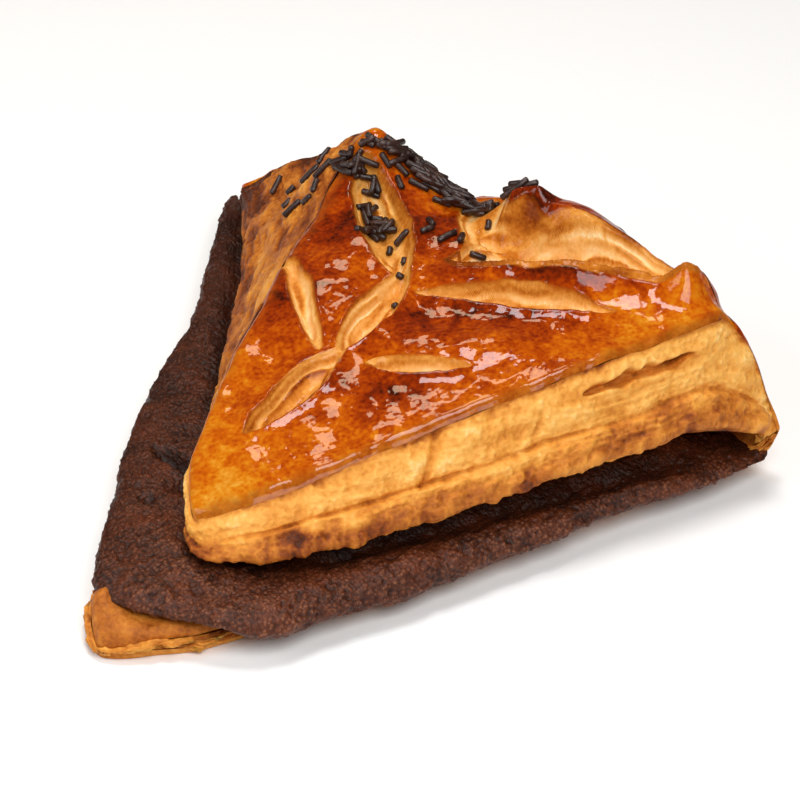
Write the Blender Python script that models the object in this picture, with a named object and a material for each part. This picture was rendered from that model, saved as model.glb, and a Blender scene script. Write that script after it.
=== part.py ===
"""Turnover pastry: a square of puff pastry folded over a cocoa cake layer.

The sheet of puff pastry is folded on its diagonal into a triangle. Its upper half has risen
high, is slashed like a leaf and carries chocolate vermicelli round the peak. The cocoa layer
lies between the halves and bulges out along the two cut sides, and one corner of the lower
half sticks out under it as a small nub.

The frame: +X runs along the fold, +Y from the open corner to the fold, +Z is up, and the
origin is at the middle of the bounding box on the ground. Sizes are in millimetres here and
become metres where the meshes are made.
"""

import math
import random

import bmesh
import bpy
import numpy as np
from mathutils import Vector
from mathutils.bvhtree import BVHTree

MM = 0.001
ORIGIN = (17.3, 10.86)  # added to every X and Y below, so that the box is centred

# The folded sheet, measured over the fold: 0 is the upper open corner, 1 the outermost line of
# the fold, 2 the lower open corner.
CELLS = 30  # grid cells along each side of the square sheet
RIDGE = 0.70  # where the upper skin turns down into the fold
BASE = 1.22  # where the fold has come round to the ground
INNER_RIDGE = 0.86  # the same two places on the inner face
INNER_BASE = 1.10

# Triangles in plan: the corner where the two cut sides would meet, how deep its nose is rounded
# off, then the end at the fold and the outward bow of the left side and of the right side.
SKIN = ((-3.0, -59.5), 6.0, (-42.0, 38.0), 5.0, (44.5, 42.6), 3.2)
FOOT = ((4.0, -66.0), 11.0, (-84.0, 42.0), -4.0, (53.0, 44.0), 3.3)
LOWER = ((-7.0, -81.5), 5.0, (-78.0, 41.0), 2.0, (43.0, 41.0), 4.5)
# The lower half's free corner shows as a nub with a small bulb on it.
BULB, BULB_RISE, BULB_RADIUS = (-10.5, -72.5), 3.2, 5.5

# Heights of the upper skin along its two cut sides, open corner to ridge.
SKIN_CORNER_Z = 19.3
SKIN_LEFT_RISE, SKIN_LEFT_POWER = 21.5, 1.0
SKIN_RIGHT_RISE, SKIN_RIGHT_SWEEP = 17.0, 0.95
# Height of the upper half's underside: at the open corner, and how it arches on the right.
FOOT_Z, FOOT_RIGHT_RISE = 13.2, 4.2
ARCH_START, ARCH_DROP = 0.85, 6.0
LOWER_Z = 5.6  # thickness of the lower half
FOLD_THICKNESS = 6.0
FOLD_HEM_LEFT, FOLD_HEM_RIGHT = 7.0, 5.0  # thickness at the fold's two ends

# The fold at its outermost line: the left end, the right end and what the middle adds.
FOLD_LEFT, FOLD_RIGHT = (-89.0, 47.5, 12.5), (56.5, 48.0, 12.0)
FOLD_MIDDLE = (8.0, 7.0)  # further back, higher

# Swellings and dips of the upper skin: centre, height, length, width, heading in degrees.
SWELLS = (
    ((14.0, 30.5), 4.0, 19.0, 5.0, 31.0),  # the strip in front of the widest slash
    ((8.0, 43.5), 9.5, 16.0, 6.0, 0.0),  # the flap behind it
    ((35.5, 42.5), 5.5, 3.5, 4.0, 31.0),  # the lip at the strip's end
    ((-19.0, 41.0), -3.0, 6.0, 7.0, 0.0),  # the saddle beside the peak
    ((-40.0, 37.5), 6.5, 7.0, 7.0, 0.0),  # the peak
    ((10.0, 3.0), 1.6, 14.0, 5.0, 31.0),  # the strip between the two right slashes
    ((-22.0, 8.0), 1.6, 9.0, 6.0, 120.0),  # the panel left of the midrib
)

# Slashes: start, end, half widths left and right of that line, depth, place of the keel
# across (0 right edge, 1 left edge).
SLASHES = (
    ((-8.8, -33.0), (-7.2, -8.0), 3.0, 2.6, 4.0, 0.45),  # midrib, lowest leaf
    ((-8.0, -8.5), (-13.5, 17.0), 3.2, 3.6, 4.5, 0.5),  # midrib, middle leaf
    ((-12.5, 15.0), (-37.5, 32.5), 4.6, 4.2, 5.0, 0.5),  # midrib, upper leaf
    ((-10.4, -10.2), (-31.0, 4.0), 1.5, 1.6, 3.0, 0.5),  # left vein
    ((0.4, -10.3), (17.2, -0.8), 1.6, 1.9, 3.2, 0.35),  # first right vein
    ((-4.4, 9.2), (30.5, 25.3), 2.6, 2.4, 4.5, 0.3),  # second right vein
    ((-9.5, 15.5), (36.0, 43.5), 12.5, 1.0, 8.0, 0.12),  # widest vein, open to the ridge
)
# A crack in the right cut wall: start, end, half height, depth.
CRACK = ((34.5, 15.5, 29.5), (43.5, 34.0, 30.5), 1.2, 5.0)
SLASH_STEPS = 9
SLASH_HEADROOM = 14.0

# The cut walls: how far the rows between the skin and the foot stand out.
WALL_ROWS = ((0.0, 0.0), (0.16, 2.4), (0.42, 1.6), (0.74, 1.2), (1.0, 0.0))

# The cocoa layer, a rounded quadrilateral: corner, corner radius, bow of the side after it.
COCOA_CORNERS = (
    ((-17.5, -66.5), 9.0, 1.0),
    ((18.0, -61.0), 14.0, 3.2),
    ((53.0, 44.5), 4.0, 4.0),
    ((-76.0, 34.5), 6.0, 0.0),
    ((-97.0, 54.5), 2.2, 1.0),
)
COCOA_CENTRE = (-12.0, 4.0)
COCOA_RING = 96
COCOA_TOP = 11.9
COCOA_RIGHT_DROP = 4.0  # lower along the right side, which leaves the dark gap there
COCOA_UNDER = 0.5  # its underside outside the lower half
# Rings from the middle of the top over the rounded edge to the middle of the underside: share
# of the way out, share of the height.
COCOA_RINGS = (
    (0.40, 1.0),
    (0.70, 1.0),
    (0.84, 1.0),
    (0.92, 0.97),
    (0.965, 0.86),
    (0.99, 0.66),
    (1.0, 0.42),
    (0.985, 0.16),
    (0.95, 0.0),
    (0.85, 0.0),
    (0.70, 0.0),
    (0.40, 0.0),
)
STEP_MARGIN = 3.5  # the underside stays raised this far past the lower half
COCOA_LUMPS = 0.5
CLEAR = 0.7  # between the sheet and the cocoa layer

# Vermicelli: middle of a patch, half length, half width, heading, how many.
VERMICELLI_RADIUS = 0.65
VERMICELLI_LENGTH = (3.2, 6.2)
VERMICELLI_SIDES = 6
PATCHES = (
    ((-27.0, 24.5), 10.0, 3.0, 145.0, 22),  # in the upper leaf of the midrib
    ((-41.0, 33.0), 7.0, 3.0, 40.0, 13),  # over the peak
    ((-27.0, 35.5), 11.0, 3.2, 175.0, 30),  # heaped beside the peak
    ((-52.0, 34.0), 9.0, 5.0, 30.0, 7),  # on the left shoulder
    ((-13.0, 27.0), 6.0, 3.0, 150.0, 6),  # on the skin right of the midrib
    ((-7.0, 40.5), 5.0, 1.5, 0.0, 5),  # on the flap's left end
)
SINK = 0.22
SEED = 11

SKIN_COLOUR = (0.52, 0.17, 0.03, 1.0)
COCOA_COLOUR = (0.055, 0.022, 0.014, 1.0)


def rotated(heading):
    """Unit vectors along a heading in degrees and to its left."""
    angle = math.radians(heading)
    return (math.cos(angle), math.sin(angle)), (-math.sin(angle), math.cos(angle))


def side_point(corner, end, other_end, nose, bow, a):
    """Plan points at fractions a of one side, whose start is rounded off at the nose."""
    corner, end, other_end = map(np.array, (corner, end, other_end))
    length = np.linalg.norm(end - corner)
    along = (end - corner) / length
    other = (other_end - corner) / np.linalg.norm(other_end - corner)
    middle = (along + other) / np.linalg.norm(along + other)
    outward = along - other
    outward = outward - outward.dot(along) * along
    outward = outward / np.linalg.norm(outward)
    reach = nose / (length * along.dot(middle))
    a = np.asarray(a)[..., None]
    swell = np.sqrt(np.clip(np.sin(math.pi * a), 0.0, 1.0)) * np.clip(a * 6.0, 0.0, 1.0)
    return corner + length * a * along + nose * np.exp(-a / reach) * middle + bow * swell * outward


def between(triangle, a, t):
    """Plan points at fraction a from the open corner and fraction t from the left side."""
    corner, nose, left, left_bow, right, right_bow = triangle
    left_point = side_point(corner, left, right, nose, left_bow, a)
    right_point = side_point(corner, right, left, nose, right_bow, a)
    return left_point + (right_point - left_point) * np.asarray(t)[..., None]


def swells(x, y):
    """Height that the swellings add at plan points."""
    total = np.zeros_like(x)
    for (cx, cy), height, length, width, heading in SWELLS:
        along, left = rotated(heading)
        p = ((x - cx) * along[0] + (y - cy) * along[1]) / length
        q = ((x - cx) * left[0] + (y - cy) * left[1]) / width
        total = total + height * np.exp(-(p**2) - q**2)
    return total


def skin_height(a, t, x, y):
    """Height of the upper skin before the slashes."""
    left = SKIN_LEFT_RISE * a**SKIN_LEFT_POWER
    right = SKIN_RIGHT_RISE * np.sin(a * SKIN_RIGHT_SWEEP * math.pi / 2)
    return SKIN_CORNER_Z + left + (right - left) * t + swells(x, y)


def fold_line(t):
    """Outermost line of the fold, from its left end to its right end."""
    left, right = np.array(FOLD_LEFT), np.array(FOLD_RIGHT)
    line = left + (right - left) * t[:, None]
    bulge = np.sin(math.pi * t)
    line[:, 1] += FOLD_MIDDLE[0] * bulge
    line[:, 2] += FOLD_MIDDLE[1] * bulge
    return line


def turn(start, middle, end, quarter):
    """Points of a fold through three lines: quarter 0 start, 1 middle, 2 end."""
    first = quarter[:, None] <= 1.0
    angle = quarter[:, None] * math.pi / 2
    near = np.where(first, start, end)
    points = near + (middle - near) * np.sin(angle)
    swing = 1.0 - np.abs(np.cos(angle))
    points[:, 0] = np.where(first[:, 0], (near + (middle - near) * swing)[:, 0], points[:, 0])
    points[:, 2] = (near + (middle - near) * swing)[:, 2]
    return points


def outer_face(s, t):
    """Outer face of the folded sheet: upper skin, fold and ground face."""
    a = np.minimum(s / RIDGE, 1.0)
    plan = between(SKIN, a, t)
    top = np.column_stack([plan, skin_height(a, t, plan[:, 0], plan[:, 1])])
    b = np.minimum((2.0 - s) / (2.0 - BASE), 1.0)
    ground = np.column_stack([between(LOWER, b, t), np.zeros(len(s))])
    quarter = np.where(s < 1.0, (s - RIDGE) / (1.0 - RIDGE), 1.0 + (s - 1.0) / (BASE - 1.0))
    fold = turn(top, fold_line(t), ground, np.clip(quarter, 0.0, 2.0))
    return np.where((s <= RIDGE)[:, None], top, np.where((s >= BASE)[:, None], ground, fold))


def foot_height(a, t):
    """Height of the upper half's underside."""
    arch = np.clip((a - ARCH_START) / (1.0 - ARCH_START), 0.0, 1.0) ** 1.5
    left = FOOT_Z - 0.8 * a
    right = FOOT_Z + FOOT_RIGHT_RISE * np.minimum(a / ARCH_START, 1.0) - ARCH_DROP * arch
    return left + (right - left) * t**1.5


def inner_face(s, t):
    """Inner face of the folded sheet, which holds the cocoa layer."""
    a = np.minimum(s / INNER_RIDGE, 1.0)
    plan = between(FOOT, a, t)
    top = np.column_stack([plan, foot_height(a, t)])
    b = np.minimum((2.0 - s) / (2.0 - INNER_BASE), 1.0)
    plan = between(LOWER, b, t)
    bulb = BULB_RISE * np.exp(-((plan - BULB) ** 2).sum(axis=1) / BULB_RADIUS**2)
    ground = np.column_stack([plan, LOWER_Z + bulb])
    bulge = np.sin(math.pi * t)
    hem = FOLD_HEM_LEFT + (FOLD_HEM_RIGHT - FOLD_HEM_LEFT) * t
    middle = fold_line(t)
    middle[:, 0] += hem * (1.0 - 2.0 * t)
    middle[:, 1] -= 1.8 + (FOLD_THICKNESS - 1.8) * bulge
    middle[:, 2] = 8.0 + 2.0 * bulge
    quarter = np.where(
        s < 1.0, (s - INNER_RIDGE) / (1.0 - INNER_RIDGE), 1.0 + (s - 1.0) / (INNER_BASE - 1.0)
    )
    fold = turn(top, middle, ground, np.clip(quarter, 0.0, 2.0))
    return np.where((s <= INNER_RIDGE)[:, None], top, np.where((s >= INNER_BASE)[:, None], ground, fold))


def grid_coordinates(cells):
    """Fold distance and place across at every corner of a square grid."""
    u, v = np.meshgrid(np.linspace(0, 1, cells + 1), np.linspace(0, 1, cells + 1), indexing="ij")
    u, v = u.ravel(), v.ravel()
    s = u + v
    upper = u / np.maximum(s, 1e-9)
    lower = (1.0 - v) / np.maximum(2.0 - s, 1e-9)
    return s, np.clip(np.where(s <= 1.0, upper, lower), 0.0, 1.0)


def border(cells):
    """Grid indices round the sheet's edge, with the index one cell further in."""
    n = cells
    rim = [(i, 0) for i in range(n)] + [(n, j) for j in range(n)]
    rim += [(i, n) for i in range(n, 0, -1)] + [(0, j) for j in range(n, 0, -1)]
    inside = [(min(max(i, 1), n - 1), min(max(j, 1), n - 1)) for i, j in rim]
    return [i * (n + 1) + j for i, j in rim], [i * (n + 1) + j for i, j in inside]


def new_object(name, points, faces, colour, roughness):
    """A mesh object in metres, with its own material."""
    mesh = bpy.data.meshes.new(name)
    shifted = (np.asarray(points) + (*ORIGIN, 0.0)) * MM
    mesh.from_pydata(shifted.tolist(), [], faces)
    built = bmesh.new()
    built.from_mesh(mesh)
    bmesh.ops.triangulate(built, faces=[f for f in built.faces if len(f.verts) > 4])
    bmesh.ops.recalc_face_normals(built, faces=built.faces)
    built.to_mesh(mesh)
    built.free()
    obj = bpy.data.objects.new(name, mesh)
    bpy.context.scene.collection.objects.link(obj)
    if colour:
        material = bpy.data.materials.new(name)
        material.use_nodes = True
        shader = material.node_tree.nodes["Principled BSDF"]
        shader.inputs["Base Color"].default_value = colour
        shader.inputs["Roughness"].default_value = roughness
        mesh.materials.append(material)
    return obj


def make_sheet():
    """The folded sheet as one closed body: two grids and the cut wall that joins them."""
    s, t = grid_coordinates(CELLS)
    outer, inner = outer_face(s, t), inner_face(s, t)
    points = [outer, inner]
    rim, inside = border(CELLS)
    outward = (outer[rim] + inner[rim] - outer[inside] - inner[inside]) / 2
    outward[:, 2] = 0.0
    outward = outward / np.linalg.norm(outward, axis=1)[:, None]
    rows = []
    count = len(outer)
    for w, stand in WALL_ROWS:
        if w == 0.0:
            rows.append([count + k for k in rim])
        elif w == 1.0:
            rows.append(list(rim))
        else:
            rows.append([2 * count + sum(len(r) for r in points[2:]) + k for k in range(len(rim))])
            upper = (s[rim] < 1.0)[:, None]
            height = np.where(upper, stand, 0.4 * stand)
            points.append(inner[rim] + (outer[rim] - inner[rim]) * w + outward * height)
    faces = []
    n = CELLS + 1
    for i in range(CELLS):
        for j in range(CELLS):
            a, b, c, d = i * n + j, (i + 1) * n + j, (i + 1) * n + j + 1, i * n + j + 1
            faces += [(a, b, d), (b, c, d)]
            faces += [(count + a, count + d, count + b), (count + b, count + d, count + c)]
    for low, high in zip(rows, rows[1:]):
        for k in range(len(rim)):
            m = (k + 1) % len(rim)
            faces += [(low[k], low[m], high[m]), (low[k], high[m], high[k])]
    return new_object("pastry", np.vstack(points), faces, SKIN_COLOUR, 0.28)


def surface_height(tree, x, y):
    """Height in millimetres and normal of the topmost surface under a plan point."""
    origin = Vector(((x + ORIGIN[0]) * MM, (y + ORIGIN[1]) * MM, 0.2))
    hit, normal, _, _ = tree.ray_cast(origin, Vector((0.0, 0.0, -1.0)))
    return (hit.z / MM, normal) if hit else (None, None)


def tree_of(obj):
    """A ray-casting tree of an object's mesh, which stands at the origin."""
    built = bmesh.new()
    built.from_mesh(obj.data)
    tree = BVHTree.FromBMesh(built)
    built.free()
    return tree


def make_slash(number, tree, start, end, left, right, depth, keel):
    """A leaf-shaped cutter: pointed at both ends, V-shaped below, open above."""
    start, end = np.array(start), np.array(end)
    along = (end - start) / np.linalg.norm(end - start)
    aside = np.array((-along[1], along[0]))
    points, faces = [], []
    for k in range(SLASH_STEPS + 1):
        f = k / SLASH_STEPS
        wide = math.sin(math.pi * (0.02 + 0.96 * f)) ** 0.8
        middle = start + (end - start) * f
        near, far = middle - aside * right * wide, middle + aside * left * wide
        bottom = near + (far - near) * keel
        z_near = surface_height(tree, *near)[0]
        z_far = surface_height(tree, *far)[0]
        z_low = min(z_near, z_far) - 0.3 - depth * wide
        points += [
            (*near, z_near + SLASH_HEADROOM),
            (*near, z_near - 0.3),
            (*bottom, z_low),
            (*far, z_far - 0.3),
            (*far, z_far + SLASH_HEADROOM),
        ]
        if k:
            base = 5 * (k - 1)
            for m in range(5):
                o = (m + 1) % 5
                faces += [(base + m, base + o, base + 5 + o, base + 5 + m)]
    faces += [(4, 3, 2, 1, 0), tuple(5 * SLASH_STEPS + m for m in range(5))]
    cutter = new_object(f"slash_{number}", points, faces, None, 0.0)
    cutter.hide_render = True
    cutter.display_type = "WIRE"
    return cutter


def make_crack(start, end, half_height, depth):
    """A flat lens-shaped cutter that opens through the right cut wall."""
    start, end = np.array(start), np.array(end)
    along = (end - start) / np.linalg.norm(end - start)
    inward = np.cross((0.0, 0.0, 1.0), along)
    points, faces = [], []
    for k in range(SLASH_STEPS + 1):
        f = k / SLASH_STEPS
        wide = math.sin(math.pi * (0.03 + 0.94 * f))
        middle = start + (end - start) * f
        up = np.array((0.0, 0.0, half_height * wide))
        points += [middle - inward * 5.0 - up, middle - inward * 5.0 + up, middle + inward * depth * wide]
        if k:
            base = 3 * (k - 1)
            for m in range(3):
                o = (m + 1) % 3
                faces.append((base + m, base + o, base + 3 + o, base + 3 + m))
    faces += [(2, 1, 0), tuple(3 * SLASH_STEPS + m for m in range(3))]
    cutter = new_object("crack", points, faces, None, 0.0)
    cutter.hide_render = True
    cutter.display_type = "WIRE"
    return cutter


def combine(obj, others, operation, solver):
    """Applies one Boolean of a collection of objects to obj and removes them."""
    helpers = bpy.data.collections.new("helpers")
    bpy.context.scene.collection.children.link(helpers)
    for other in others:
        bpy.context.scene.collection.objects.unlink(other)
        helpers.objects.link(other)
    modifier = obj.modifiers.new("combine", "BOOLEAN")
    modifier.operation = operation
    modifier.operand_type = "COLLECTION"
    modifier.collection = helpers
    modifier.solver = solver
    bpy.context.view_layer.update()
    graph = bpy.context.evaluated_depsgraph_get()
    mesh = bpy.data.meshes.new_from_object(obj.evaluated_get(graph))
    obj.modifiers.clear()
    obj.data = mesh
    for other in others:
        bpy.data.objects.remove(other)
    bpy.data.collections.remove(helpers)


def make_vermicelli(number, tree, taken, x, y, heading, length):
    """One short rod of chocolate that lies on the pastry or on its neighbours."""
    (ax, ay), _ = rotated(heading)
    ends = []
    for sign in (-0.5, 0.5):
        height, _ = surface_height(tree, x + sign * length * ax * 0.8, y + sign * length * ay * 0.8)
        if height is None:
            return None
        ends.append(height)
    height, _ = surface_height(tree, x, y)
    height = max(height, (ends[0] + ends[1]) / 2)
    crowd = sum(1 for ox, oy in taken if math.hypot(ox - x, oy - y) < 1.7)
    lift = VERMICELLI_RADIUS - SINK + min(crowd, 2) * VERMICELLI_RADIUS * 1.1
    slope = math.atan2(ends[1] - ends[0], length * 0.8)
    direction = Vector((ax * math.cos(slope), ay * math.cos(slope), math.sin(slope)))
    built = bmesh.new()
    bmesh.ops.create_cone(
        built,
        cap_ends=True,
        segments=VERMICELLI_SIDES,
        radius1=VERMICELLI_RADIUS * MM,
        radius2=VERMICELLI_RADIUS * MM,
        depth=length * MM,
    )
    turned = direction.to_track_quat("Z", "Y").to_matrix()
    bmesh.ops.rotate(built, matrix=turned, verts=built.verts)
    place = Vector((x + ORIGIN[0], y + ORIGIN[1], height + lift)) * MM
    bmesh.ops.translate(built, vec=place, verts=built.verts)
    mesh = bpy.data.meshes.new(f"vermicelli_{number}")
    built.to_mesh(mesh)
    built.free()
    obj = bpy.data.objects.new(mesh.name, mesh)
    bpy.context.scene.collection.objects.link(obj)
    taken.append((x, y))
    return obj


def keep_largest_body(obj):
    """Drops loose scrap and fills hollows: only the largest shell stays."""
    built = bmesh.new()
    built.from_mesh(obj.data)
    built.verts.ensure_lookup_table()
    seen, shells = set(), []
    for vert in built.verts:
        if vert in seen:
            continue
        shell, stack = [], [vert]
        seen.add(vert)
        while stack:
            here = stack.pop()
            shell.append(here)
            for edge in here.link_edges:
                other = edge.other_vert(here)
                if other not in seen:
                    seen.add(other)
                    stack.append(other)
        shells.append(shell)
    shells.sort(key=len)
    for shell in shells[:-1]:
        bmesh.ops.delete(built, geom=shell, context="VERTS")
    bmesh.ops.triangulate(built, faces=built.faces)
    built.to_mesh(obj.data)
    built.free()


def make_pastry():
    """The folded sheet with its slashes cut and its vermicelli fused on."""
    pastry = make_sheet()
    tree = tree_of(pastry)
    cutters = [make_slash(k, tree, *slash) for k, slash in enumerate(SLASHES)]
    cutters.append(make_crack(*CRACK))
    combine(pastry, cutters, "DIFFERENCE", "EXACT")
    tree = tree_of(pastry)
    chance = random.Random(SEED)
    rods, taken = [], []
    for (cx, cy), half_length, half_width, heading, count in PATCHES:
        along, left = rotated(heading)
        for _ in range(count):
            p = half_length * chance.uniform(-1.0, 1.0)
            q = half_width * chance.uniform(-1.0, 1.0)
            x = cx + p * along[0] + q * left[0]
            y = cy + p * along[1] + q * left[1]
            lie = heading + chance.uniform(-75.0, 75.0)
            length = chance.uniform(*VERMICELLI_LENGTH)
            rod = make_vermicelli(len(rods), tree, taken, x, y, lie, length)
            if rod:
                rods.append(rod)
    combine(pastry, rods, "UNION", "MANIFOLD")
    keep_largest_body(pastry)
    material = pastry.data.materials[0]
    pastry.data.materials.clear()
    pastry.data.materials.append(material)
    return pastry


def corner_reach(before, here, after, radius):
    """How far from a corner its rounding starts, and the unit vectors along both sides."""
    entry = (before - here) / np.linalg.norm(before - here)
    leave = (after - here) / np.linalg.norm(after - here)
    return radius / math.tan(math.acos(entry.dot(leave)) / 2), entry, leave


def cocoa_outline(count):
    """Plan points round the cocoa layer: bowed sides with rounded corners."""
    corners = [np.array(corner) for corner, _, _ in COCOA_CORNERS]
    sides = len(corners)
    path = []
    for k, (_, radius, bow) in enumerate(COCOA_CORNERS):
        here, after = corners[k], corners[(k + 1) % sides]
        reach, entry, leave = corner_reach(corners[k - 1], here, after, radius)
        for f in np.linspace(0.0, 1.0, 9):
            path.append(here + entry * reach * (1 - f) ** 2 + leave * reach * f**2)
        next_radius = COCOA_CORNERS[(k + 1) % sides][1]
        next_reach, back, _ = corner_reach(here, after, corners[(k + 2) % sides], next_radius)
        start, stop = here + leave * reach, after + back * next_reach
        outward = np.array((leave[1], -leave[0]))
        for f in np.linspace(0.0, 1.0, 24)[1:-1]:
            path.append(start + (stop - start) * f + outward * bow * math.sin(math.pi * f))
    path = np.array(path + path[:1])
    run = np.concatenate([[0.0], np.cumsum(np.linalg.norm(np.diff(path, axis=0), axis=1))])
    wanted = np.linspace(0.0, run[-1], count + 1)[:-1]
    return np.column_stack([np.interp(wanted, run, path[:, m]) for m in (0, 1)])


def right_side_share(plan):
    """0 over the left and middle of the triangle, 1 along its right side."""
    corner, end = np.array(FOOT[0]), np.array(FOOT[4])
    along = (end - corner) / np.linalg.norm(end - corner)
    distance = (plan[:, 0] - corner[0]) * along[1] - (plan[:, 1] - corner[1]) * along[0]
    return np.clip((distance + 24.0) / 24.0, 0.0, 1.0)


def lower_cover(plan):
    """1 over the lower half of the sheet, 0 beyond its edge, with a soft step between."""
    corner, _, left, left_bow, right, right_bow = LOWER
    corner = np.array(corner)
    cover = np.ones(len(plan))
    for end, other, bow in ((left, right, left_bow), (right, left, right_bow)):
        along = (np.array(end) - corner) / np.linalg.norm(np.array(end) - corner)
        across = np.array(other) - corner
        inward = across - across.dot(along) * along
        inward = inward / np.linalg.norm(inward)
        distance = (plan - corner) @ inward + bow
        cover = np.minimum(cover, np.clip((distance + STEP_MARGIN + 2.0) / 2.0, 0.0, 1.0))
    return cover


def cocoa_top(plan):
    """Height of the layer's upper face: just under the upper half, and low on the right."""
    drop = COCOA_RIGHT_DROP * right_side_share(plan) ** 2
    back = np.clip((plan[:, 1] - 20.0) / 30.0, 0.0, 1.0)
    back = back * np.clip((plan[:, 0] + 85.0) / 20.0, 0.0, 1.0)
    return COCOA_TOP - drop * (0.35 + 0.65 * back) - 2.6 * back


def cocoa_underside(plan):
    """Height of the layer's lower face: on the lower half, and near the ground beyond it."""
    return COCOA_UNDER + (LOWER_Z + CLEAR - COCOA_UNDER) * lower_cover(plan)


def make_cocoa():
    """The cocoa layer: a slab between the halves with a rounded edge that bulges out."""
    outline = cocoa_outline(COCOA_RING)
    centre = np.array(COCOA_CENTRE)
    phase = np.arange(COCOA_RING) * 2 * math.pi / COCOA_RING
    lumps = COCOA_LUMPS * (np.sin(phase * 7 + 1.0) + 0.7 * np.sin(phase * 13 + 2.2))
    outward = (outline - centre) / np.linalg.norm(outline - centre, axis=1)[:, None]
    outline = outline + outward * lumps[:, None]
    points, faces = [(*centre, cocoa_top(centre[None])[0])], []
    for share, roll in COCOA_RINGS:
        plan = centre + (outline - centre) * share
        top, under = cocoa_top(plan), cocoa_underside(plan)
        points += np.column_stack([plan, under + (top - under) * roll]).tolist()
    points.append((*centre, cocoa_underside(centre[None])[0]))
    last = len(points) - 1
    for k in range(COCOA_RING):
        m = (k + 1) % COCOA_RING
        faces.append((0, 1 + k, 1 + m))
        for ring in range(len(COCOA_RINGS) - 1):
            high, low = 1 + ring * COCOA_RING, 1 + (ring + 1) * COCOA_RING
            faces += [(high + k, low + k, low + m), (high + k, low + m, high + m)]
        faces.append((last, last - COCOA_RING + m, last - COCOA_RING + k))
    return new_object("cocoa_filling", points, faces, COCOA_COLOUR, 0.9)


def clear_scene():
    for obj in list(bpy.data.objects):
        bpy.data.objects.remove(obj)


def main():
    clear_scene()
    make_pastry()
    make_cocoa()


if __name__ == "__main__":
    main()
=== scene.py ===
"""Turnover pastry, dressed for a picture.

A square of puff pastry folded into a triangle over a cocoa cake layer. The upper half has risen
high: its egg-washed skin is slashed like a leaf, its two cut sides show the layers, and chocolate
vermicelli lie round the peak. Shapes are worked out in millimetres in the part's own frame, with
ORIGIN added to X and Y, and become metres where a mesh is placed.
"""

import itertools
import logging
import math
import random
from dataclasses import dataclass, field
from enum import Enum

import bmesh
import bpy
import numpy as np
from bmesh.types import BMesh
from bpy.types import Material, Node, NodeSocket, NodeTree, Object
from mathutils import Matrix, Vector
from mathutils.bvhtree import BVHTree
from numpy import ndarray


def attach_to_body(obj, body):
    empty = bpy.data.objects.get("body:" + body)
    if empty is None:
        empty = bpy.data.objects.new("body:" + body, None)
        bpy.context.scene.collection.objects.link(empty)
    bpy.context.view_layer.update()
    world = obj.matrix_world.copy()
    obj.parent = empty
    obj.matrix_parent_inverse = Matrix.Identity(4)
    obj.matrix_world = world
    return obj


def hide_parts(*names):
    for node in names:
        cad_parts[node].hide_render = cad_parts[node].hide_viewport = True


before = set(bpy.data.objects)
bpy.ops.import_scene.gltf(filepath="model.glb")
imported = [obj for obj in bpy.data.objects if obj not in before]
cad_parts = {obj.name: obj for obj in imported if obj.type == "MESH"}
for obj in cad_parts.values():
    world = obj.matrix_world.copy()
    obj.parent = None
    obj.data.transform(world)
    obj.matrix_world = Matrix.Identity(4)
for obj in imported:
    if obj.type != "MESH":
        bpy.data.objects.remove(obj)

MM = 0.001
ORIGIN = (17.3, 10.86, 0.0)
LOG = logging.getLogger("turnover")
Point = tuple[float, float]
Place = tuple[float, float, float]


class Slot(Enum):
    """The record's material slots."""

    PASTRY = "pastry"
    COCOA = "cocoa"
    VERMICELLI = "vermicelli"


class Facing(Enum):
    """Which way the faces of an open sheet point from the middle of the pastry."""

    OUT = 1.0
    IN = -1.0


def linear(text: str) -> tuple[float, float, float, float]:
    """Turn an sRGB hex colour to the linear values that shaders take.

    Args:
        text: Six hex digits after a hash sign.

    Returns:
        Linear red, green, blue and an alpha of one.
    """
    parts = (int(text[k : k + 2], 16) / 255 for k in (1, 3, 5))
    return *(c / 12.92 if c <= 0.04045 else ((c + 0.055) / 1.055) ** 2.4 for c in parts), 1.0


def node(tree: NodeTree, kind: str, inputs: dict | None = None, **settings: object) -> Node:
    """Add a node, set it up and link it.

    Args:
        tree: The material's node tree.
        kind: The node's type, without its ShaderNode prefix.
        inputs: A value or another node's output for each input, by name or number.
        settings: The node's own properties. stops gives a colour ramp its places and colours.

    Returns:
        The new node.
    """
    made = tree.nodes.new("ShaderNode" + kind)
    stops = settings.pop("stops", None)
    for name, value in settings.items():
        setattr(made, name, value)
    if stops:
        ramp = made.color_ramp.elements
        while len(ramp) < len(stops):
            ramp.new(0.5)
        for element, (place, colour) in zip(ramp, stops):
            element.position, element.color = place, linear(colour)
    feed(made, inputs or {})
    return made


def feed(made: Node, inputs: dict) -> None:
    """Set or link a node's inputs.

    Args:
        made: The node.
        inputs: A value or another node's output for each input, by name or number.
    """
    for name, value in inputs.items():
        if isinstance(value, NodeSocket):
            made.id_data.links.new(value, made.inputs[name])
        else:
            made.inputs[name].default_value = value


def begin(name: str) -> tuple[Material, NodeTree, NodeSocket]:
    """Start a material.

    Args:
        name: What the finish is.

    Returns:
        The material, its node tree and the socket with the Object coordinates.
    """
    material = bpy.data.materials.new(name)
    material.use_nodes = True
    tree = material.node_tree
    return material, tree, node(tree, "TexCoord").outputs["Object"]


def as_object(name: str, built: BMesh, material: Material) -> Object:
    """Turn a finished bmesh to an object in the scene, at the origin, and free it.

    Args:
        name: The object's name.
        built: Its shape, in metres.
        material: Its finish.

    Returns:
        The new object.
    """
    mesh = bpy.data.meshes.new(name)
    built.to_mesh(mesh)
    built.free()
    mesh.materials.append(material)
    obj = bpy.data.objects.new(name, mesh)
    bpy.context.scene.collection.objects.link(obj)
    return obj


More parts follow.
